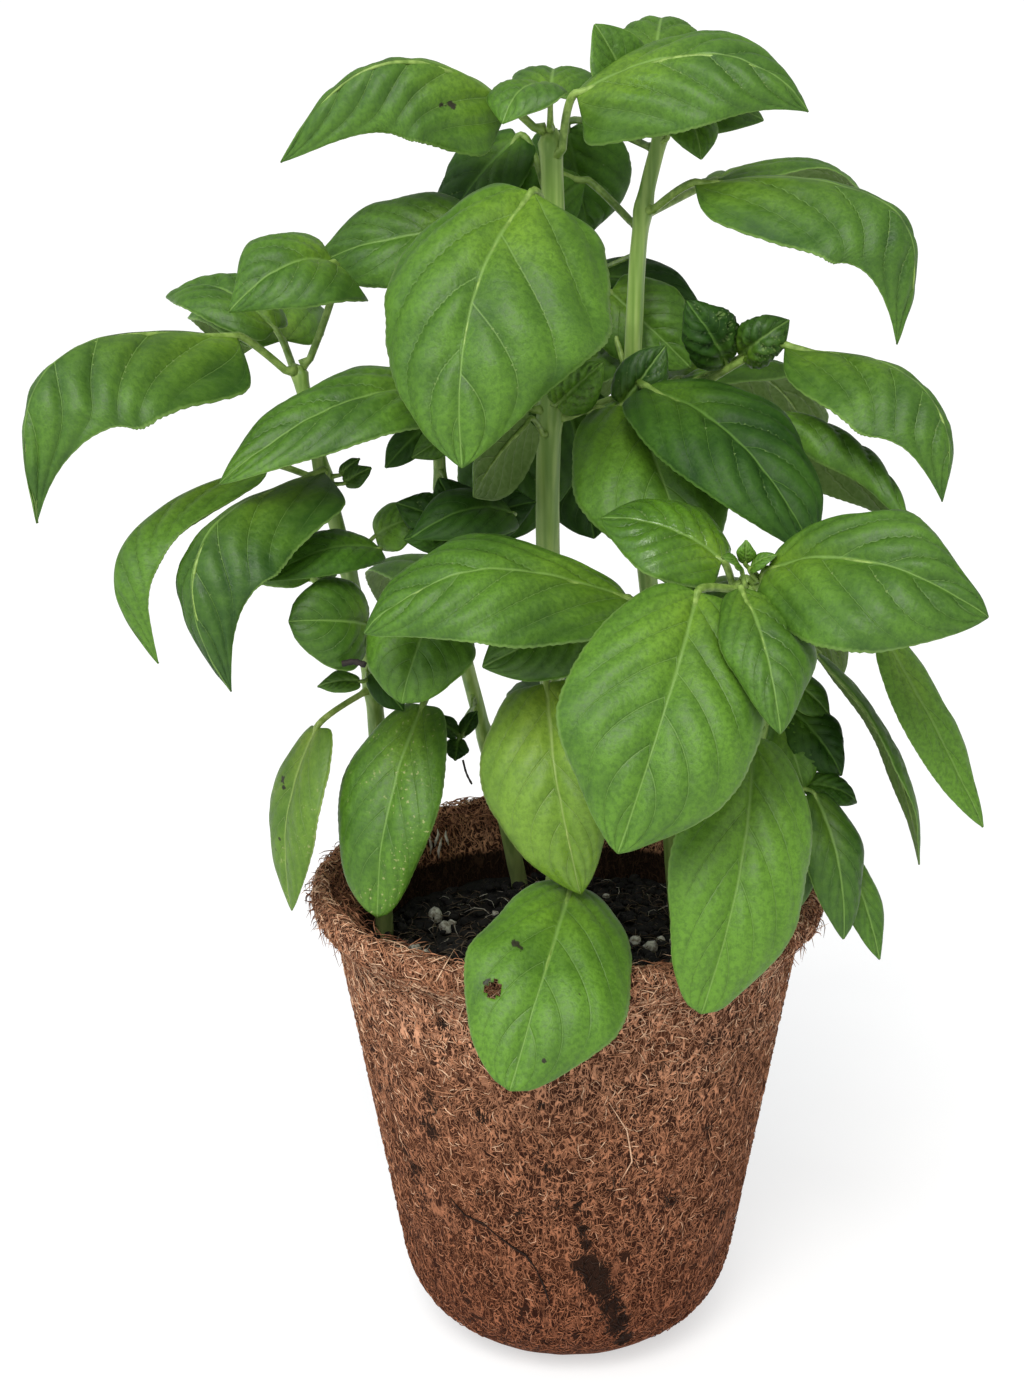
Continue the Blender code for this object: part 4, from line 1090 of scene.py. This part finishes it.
# Right side.
grow_leaf("behind_right_dark", right, 300, (4, 42, 289), (39, 38, 279), (0, -0.6, 0.8),
          width=22, arch=8, tone=0.1, skin="leaf_dark_green")
grow_leaf("behind_right_light", right, 268, (12, 24, 289), (33, 16, 270), (0.2, -0.95, 0.1),
          width=26, arch=2, tone=0.7)
grow("curly_left", right, 262, (41, -2, 274), (30, -8, 291), (0, -1, 0.3),
     width=20, arch=5, tone=0.1, pucker=3.6, blunt=0.4, tip_round=0.5, curl=110, skin="leaf_dark_green")
grow("curly_right", right, 262, (44, -3, 276), (56, -8, 286), (0, -1, 0.3),
     width=17, arch=5, tone=0.2, pucker=3.6, blunt=0.4, tip_round=0.5, curl=110)
grow_leaf("right_mid", right, 256, (55, -10, 280), (91, -40, 246), (0.75, -0.35, 0.6),
          width=37, arch=17, bend=0.72, fold=(-15, -36), curl=20, lean=0.15, widest=0.4, ease=20, tone=0.4,
          blunt=0.52, lobe=0.04, tip_round=0.9)
grow_leaf("right_lower_mid", right, 250, (43, -10, 263), (85, -34, 238), (0.2, 0.75, 0.6),
          width=36, arch=11, fold=(0, 0), curl=(20, 150), tone=0.55)
grow_leaf("centre_right_dark", right, 270, (20, -12, 270), (59, -50, 235), (0.2, -0.6, 0.8),
          width=40, lean=-0.05, arch=10, tone=0.25, skin="leaf_dark_green")
grow_leaf("back_right", right, 262, (30, 22, 266), (72, 62, 240), (0.2, 0.3, 1),
          width=42, arch=12, tone=0.5)

# Left stem.
grow_leaf("far_left_big", left, 275, (-82, -20, 285), (-127, -60, 247), (-0.65, -0.35, 0.65),
          width=48, arch=26, bend=0.68, blunt=0.38, fold=(-45, -30), curl=20, lean=-0.12, widest=0.4, ease=30,
          tip_round=1.1, lobe=0.2, tone=0.34)
grow_leaf("behind_far_left", left, 275, (-74, -4, 284), (-104, 16, 290), (0, -0.3, 0.95),
          width=26, arch=7)
grow_leaf("left_top_front", left, 276, (-58, -14, 302), (-83, -28, 292), (0.2, -0.5, 0.8),
          width=30, arch=7, blunt=0.3, widest=0.3, lobe=0.25)
grow_leaf("left_long", left, 248, (-77, -12, 251), (-102, -46, 208), (-0.85, -0.2, 0.45),
          width=29, arch=22, bend=0.78, fold=-30, curl=20, ease=20, tone=0.75, young=1.0)
grow_leaf("left_dark_big", left, 246, (-62, -20, 251), (-83, -57, 204), (-0.65, -0.4, 0.65),
          width=40, arch=24, bend=0.68, fold=(-40, -15), curl=20, blunt=0.36, lobe=0.16, ease=20,
          tip_round=1.0, tone=0.2)
grow_leaf("left_inner", left, 225, (-48, -18, 230), (-76, -38, 227), (0, -0.5, 0.8),
          width=18, arch=5, tone=0.6, skin="leaf_dark_green")
grow("left_inner_light", left, 225, (-50, -4, 230), (-38, -8, 236), (0, -0.8, 0.5),
     width=14, arch=2, tone=1.0)
grow_leaf("left_low_front", left, 205, (-51, -26, 212), (-70, -40, 217), (0, -0.9, 0.4),
          width=26, arch=4, tone=0.4, tip_round=0.5)
grow_leaf("spotted", left, 188, (-66, -14, 181), (-73, -28, 135), (-0.85, -0.5, 0.4),
          width=28, arch=5, tone=0.4, skin="leaf_yellow_green", pucker=0.4, specks=0.5,
          scars=[(5, 15, 0.8), (3, 17, 0.6), (-3, 25, 0.4), (2, 30, 0.35), (-2, 36, 0.4), (4, 33, 0.35),
                 (0, 21, 0.3)])
grow_leaf("back_left_top", left, 266, (-74, 16, 278), (-92, 60, 266), (-0.1, 0.3, 1),
          width=40, arch=13, tone=0.5)
grow_leaf("back_left_low", left, 205, (-68, 14, 214), (-97, 52, 194), (-0.3, 0.3, 1),
          width=34, arch=10, tone=0.4)

# Back-left stem.
grow_leaf("low_left_broad", back, 195, (-38, -14, 187), (-50, -38, 137), (-0.3, -0.8, 0.45),
          width=30, lean=0.1, arch=8, widest=0.45, tone=0.6, tip_round=0.5, pucker=0.5, specks=0.8)
grow_leaf("curl_left", back, 240, (-14, -14, 238), (-40, -28, 235), (0, -0.6, 0.8),
          width=20, arch=6, tone=0.1, skin="leaf_dark_green")
grow_leaf("back_low", back, 200, (-28, 36, 206), (-48, 92, 178), (0, 0.3, 1),
          width=42, arch=13, tone=0.4)
grow_leaf("back_over_rim", back, 160, (-6, 50, 166), (12, 98, 142), (0, 0.3, 1),
          width=36, arch=12, tone=0.3, skin="leaf_dark_green")

# Front stem.
grow_leaf("inner_hanging", front, 208, (-34, -30, 219), (-42, -48, 198), (-0.1, -0.9, 0.3),
          width=30, arch=4, tone=0.7, tip_round=0.55, pucker=0.7)
grow_leaf("horizontal_light", front, 212, (14, -46, 224), (-50, -62, 220), (0, -0.35, 0.93),
          width=42, arch=14, bend=0.65, fold=(-10, 5), curl=(40, 30), tone=0.6)
grow("under_horizontal", front, 205, (6, -36, 217), (-22, -44, 206), (0, -0.8, 0.4),
     width=24, arch=3, tone=0.5)
grow_leaf("yellow_centre", front, 200, (-6, -35, 199), (2, -58, 151), (-0.2, -0.9, 0.4),
          width=36, lean=0.15, blunt=0.5, arch=8, tone=0.9, skin="leaf_yellow_green", pucker=0.7,
          wet=(0, 50, 12))
grow_leaf("low_front", front, 140, (0, -49, 150), (-16, -92, 114), (0, -0.85, 0.5),
          width=44, lean=-0.06, widest=0.5, arch=9, tip_round=0.55, tone=0.8, pucker=0.5, hole=(11, 38, 1.9),
          scars=[(12.6, 36.5, 0.9), (9, 25, 0.8), (7, 26, 0.6), (-1.5, 30, 0.5), (-10, 33, 0.4),
                 (-6, 50, 0.5)])

# Front right stem, the rosette.
grow_leaf("rosette_left", rosette, 229, (36, -57, 236), (7, -50, 245), (-0.1, -0.35, 0.9),
          width=30, arch=4, fold=(0, 10), curl=40, tone=0.6, wet=(0, 14, 18))
grow_leaf("rosette_right", rosette, 230, (46, -62, 235), (94, -88, 230), (0.1, -0.7, 0.7),
          width=44, widest=0.48, lean=0.15, arch=12)
grow_leaf("rosette_front", rosette, 231, (29, -71, 232), (9, -106, 180), (0.12, -0.8, 0.6),
          width=50, arch=9, widest=0.5, tone=0.75, pucker=0.6)
grow_leaf("rosette_lower", rosette, 226, (39, -71, 233), (46, -99, 206), (0.1, -0.85, 0.5),
          width=27, lean=-0.25, arch=7, fold=(0, 10), tone=0.5)
grow_leaf("lower_right_front", rosette, 190, (44, -58, 192), (30, -88, 132), (0.2, -0.9, 0.35),
          width=37, lean=-0.04, widest=0.46, arch=10, tip_round=0.5, tone=1.0, pucker=0.7)
grow_leaf("right_edge", rosette, 200, (63, -30, 205), (89, -42, 152), (0.9, 0.1, 0.4),
          width=24, arch=6)
grow_leaf("right_hanging", rosette, 215, (78, -40, 212), (103, -50, 165), (0.5, -0.7, 0.5),
          width=18, arch=1, tone=1.0, young=1.0)
grow_leaf("right_low", rosette, 170, (62, -38, 170), (69, -50, 135), (0.4, -0.9, 0.3),
          width=18, arch=5, tone=0.25)
grow_leaf("back_right_low", right, 200, (36, 28, 206), (82, 60, 172), (0.2, 0.3, 1),
          width=38, arch=12, tone=0.4)

# Small axillary leaves, where new shoots start.
grow("curl_cluster_a", back, 243, (-28, -8, 232), (-44, -14, 241), (0, -0.8, 0.5),
     width=19, arch=3, fold=25, curl=120, tone=0.1, skin="leaf_dark_green", pucker=2.2)
grow("curl_cluster_b", back, 246, (-27, -8, 234), (-33, -12, 247), (0, -0.9, 0.3),
     width=16, arch=2, fold=30, curl=110, tone=0.1, skin="leaf_dark_green", pucker=2.2)
grow("curl_cluster_c", back, 244, (-26, -6, 233), (-8, -5, 239), (0, -0.8, 0.5),
     width=17, arch=3, fold=25, curl=110, tone=0.1, skin="leaf_dark_green", pucker=2.2)
grow("curl_cluster_d", back, 240, (-27, -7, 231), (-17, -9, 245), (0, -0.9, 0.3),
     width=15, arch=3, fold=30, curl=120, tone=0.2, skin="leaf_dark_green", pucker=2.2)
grow("curl_cluster_e", back, 238, (-28, -9, 232), (-42, -17, 232), (0, -0.9, 0.4),
     width=12, arch=2, fold=20, curl=80, tone=0.4, skin="leaf_dark_green", pucker=1.6)
grow("curl_cluster_f", back, 236, (-26, -7, 231), (-13, -10, 233), (0, -0.7, 0.6),
     width=14, arch=3, fold=20, curl=110, tone=0.1, skin="leaf_dark_green", pucker=2.0)
grow("pale_left_bit", middle, 256, (-28, -4, 258), (-40, -6, 251), (0, -0.9, 0.2),
     width=9, arch=1, tone=0.7)
grow("axil_dark", back, 260, (-37, -2, 258), (-47, -4, 248), (0, -0.9, 0.3),
     width=9, arch=2, tone=0.3, skin="leaf_dark_green")
grow("axil_left_low", left, 245, (-57, -13, 246), (-50, -13, 250), (0, -0.9, 0.4),
     width=6, arch=1, tone=0.4)
grow("axil_left_top", left, 247, (-58, -12, 248), (-53, -11, 252), (0, -0.9, 0.4),
     width=4, arch=1, tone=0.2)
grow("axil_left_hanging", left, 255, (-64, -14, 258), (-65, -15, 253), (0, -0.9, 0.2),
     width=4, arch=0.5, tone=0.6)
grow("little_under_left", left, 194, (-54, -19, 195), (-65, -20, 194), (0, -0.7, 0.7),
     width=7, arch=1.5, tone=0.6)
grow("dark_under_left", left, 196, (-51, -14, 196), (-43, -16, 186), (0, -0.9, 0.3),
     width=9, arch=2, tone=0.1, skin="leaf_dark_green")
grow("withered_a", back, 176, (-29, -6, 176), (-37, -9, 183), (0, -0.8, 0.4),
     width=6, arch=1.5, tone=0.1, skin="leaf_dark_green", pucker=2.0)
grow("withered_b", back, 175, (-28, -6, 176), (-24, -4, 182), (0, -0.8, 0.4),
     width=5, arch=1.5, tone=0.1, skin="leaf_dark_green", pucker=2.0)
grow("withered_c", back, 174, (-29, -6, 175), (-30, -7, 169), (0, -0.8, 0.4),
     width=7, arch=1.5, tone=0.0, skin="leaf_dark_green", pucker=2.0)
grow("rosette_bud_left", rosette, 231, (40, -61, 235), (35, -65, 239), (-0.2, -0.5, 0.8),
     width=6, arch=1, tone=0.8)
grow("rosette_bud_right", rosette, 231, (42, -61, 235), (48, -64, 239), (0.2, -0.5, 0.8),
     width=6, arch=1, tone=0.8)
grow("rosette_bud_top", rosette, 231, (41, -60, 236), (41, -61, 242), (0, -0.9, 0.3),
     width=5, arch=1, tone=0.9)
grow("low_right_light", rosette, 188, (54, -30, 187), (60, -34, 169), (0.1, -0.95, 0.3),
     width=15, arch=2, tone=0.7)
grow("low_right_dark", rosette, 190, (57, -28, 189), (70, -30, 172), (0.3, -0.9, 0.4),
     width=16, arch=3, tone=0.1, skin="leaf_dark_green", pucker=1.8)
grow("low_right_top", rosette, 194, (55, -26, 197), (67, -27, 187), (0.2, -0.7, 0.7),
     width=12, arch=2, tone=0.4)
grow("low_right_curl", rosette, 172, (60, -33, 171), (74, -31, 165), (0.2, -0.7, 0.7),
     width=10, arch=3, tone=0.3, skin="leaf_dark_green", pucker=2.0)
grow("low_right_behind", rosette, 168, (71, -34, 152), (80, -40, 125), (0.3, -0.9, 0.4),
     width=11, arch=2, tone=0.5)
grow("low_right_neighbour", rosette, 166, (58, -36, 165), (57, -41, 138), (-0.2, -0.9, 0.4),
     width=14, arch=3, tone=0.4)


# ---------------------------------------------------------------------------
# Dry bits.  A curl of bark and a thread of dead twig, almost black, that have
# fallen into the plant and lie caught among its leaves and stalks.
# ---------------------------------------------------------------------------

bark, tree, output = new_material("dry_bark")
place = node(tree, "TexCoord").outputs["Object"]
grain = node(tree, "TexNoise", Vector=place, Scale=700.0, Detail=3.0).outputs["Fac"]
colour = mixed(tree, ramped(tree, grain, 0.35, 0.7), (0.004, 0.003, 0.003, 1.0), (0.022, 0.014, 0.010, 1.0))
rise = node(tree, "Bump", Height=grain, Strength=0.7, Distance=0.0004).outputs[0]
shader = node(tree, "BsdfPrincipled", Base_Color=colour, Roughness=0.8, Normal=rise)
tree.links.new(shader.outputs[0], output.inputs[0])
for name, route, girth in [("bark_bit", [(-57, -40, 206), (-54, -40, 206.5), (-51, -40, 205.6)], 0.8),
                           ("thin_twig", [(-27.9, -8, 169.6), (-27, -8.4, 166), (-25.6, -8, 162.8)], 0.3)]:
    route = smooth_route(route, 4)
    points, faces = tube(route, girth * (1.0 + 0.2 * np.sin(3.0 * np.arange(len(route)))), 7)
    bit = make_piece("dry_" + name, points, faces, [bark])
    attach(bit, "root")


# ---------------------------------------------------------------------------
# The studio.  A white seamless floor, a broad soft key light from the left
# front, a small softbox and a cool window for the gloss, and the camera above.
# ---------------------------------------------------------------------------

FLOOR = 40.0
floor_mesh = bpy.data.meshes.new("studio_floor")
floor_mesh.from_pydata([(-FLOOR, -FLOOR, 0), (FLOOR, -FLOOR, 0), (FLOOR, FLOOR, 0), (-FLOOR, FLOOR, 0)], [],
                       [(0, 1, 2, 3)])
paper, tree, output = new_material("pale_floor")
place = node(tree, "TexCoord").outputs["Object"]
grain = node(tree, "TexNoise", Vector=place, Scale=30.0).outputs["Fac"]
shade = mixed(tree, grain, (0.44, 0.44, 0.44, 1.0), (0.46, 0.46, 0.46, 1.0))
shader = node(tree, "BsdfPrincipled", Base_Color=shade, Roughness=0.8)
shader.inputs["Emission Color"].default_value = (1.0, 1.0, 1.0, 1.0)
shader.inputs["Emission Strength"].default_value = 0.57
tree.links.new(shader.outputs[0], output.inputs[0])
floor_mesh.materials.append(paper)
floor = bpy.data.objects.new("studio_floor", floor_mesh)
bpy.context.scene.collection.objects.link(floor)


def soft_light(name, place, aim, size, power, colour=(1.0, 1.0, 1.0)):
    """A square softbox that looks at a point."""
    lamp = bpy.data.lights.new(name, "AREA")
    lamp.size = size
    lamp.energy = power
    lamp.color = colour
    box = bpy.data.objects.new(name, lamp)
    box.location = place
    box.rotation_euler = (Vector(aim) - Vector(place)).to_track_quat("-Z", "Y").to_euler()
    bpy.context.scene.collection.objects.link(box)


soft_light("gloss_softbox", (-0.25, -1.1, 1.3), (0, 0, 0.25), 0.35, 3.0)
soft_light("cool_window", (-1.1, -0.55, 1.1), (0, 0, 0.25), 0.9, 5.0, (0.80, 0.90, 1.0))

sun = bpy.data.lights.new("broad_key", "SUN")
sun.energy = 2.5
sun.angle = math.radians(32.0)
sun.color = (1.0, 0.985, 0.95)
key = bpy.data.objects.new("broad_key", sun)
key.rotation_euler = Vector((-0.14, -0.80, 0.84)).to_track_quat("Z", "Y").to_euler()
bpy.context.scene.collection.objects.link(key)

world = bpy.data.worlds.new("white_studio")
world.use_nodes = True
world.node_tree.nodes["Background"].inputs[0].default_value = (0.97, 0.985, 1.0, 1.0)
world.node_tree.nodes["Background"].inputs[1].default_value = 0.55
bpy.context.scene.world = world
bpy.context.scene.view_settings.view_transform = "Standard"

CAMERA_PLACE = (-0.0147, -0.630, 0.380)
LOOK_DOWN = 17.2
ROLL = -0.44
lens = bpy.data.cameras.new("camera")
lens.lens = 63.87
lens.sensor_width = 36.0
lens.clip_end = 100.0
camera = bpy.data.objects.new("camera", lens)
tilt = Matrix.Rotation(math.radians(90.0 - LOOK_DOWN), 4, "X") @ Matrix.Rotation(math.radians(ROLL), 4, "Z")
camera.matrix_world = Matrix.Translation(CAMERA_PLACE) @ tilt
bpy.context.scene.collection.objects.link(camera)
bpy.context.scene.camera = camera
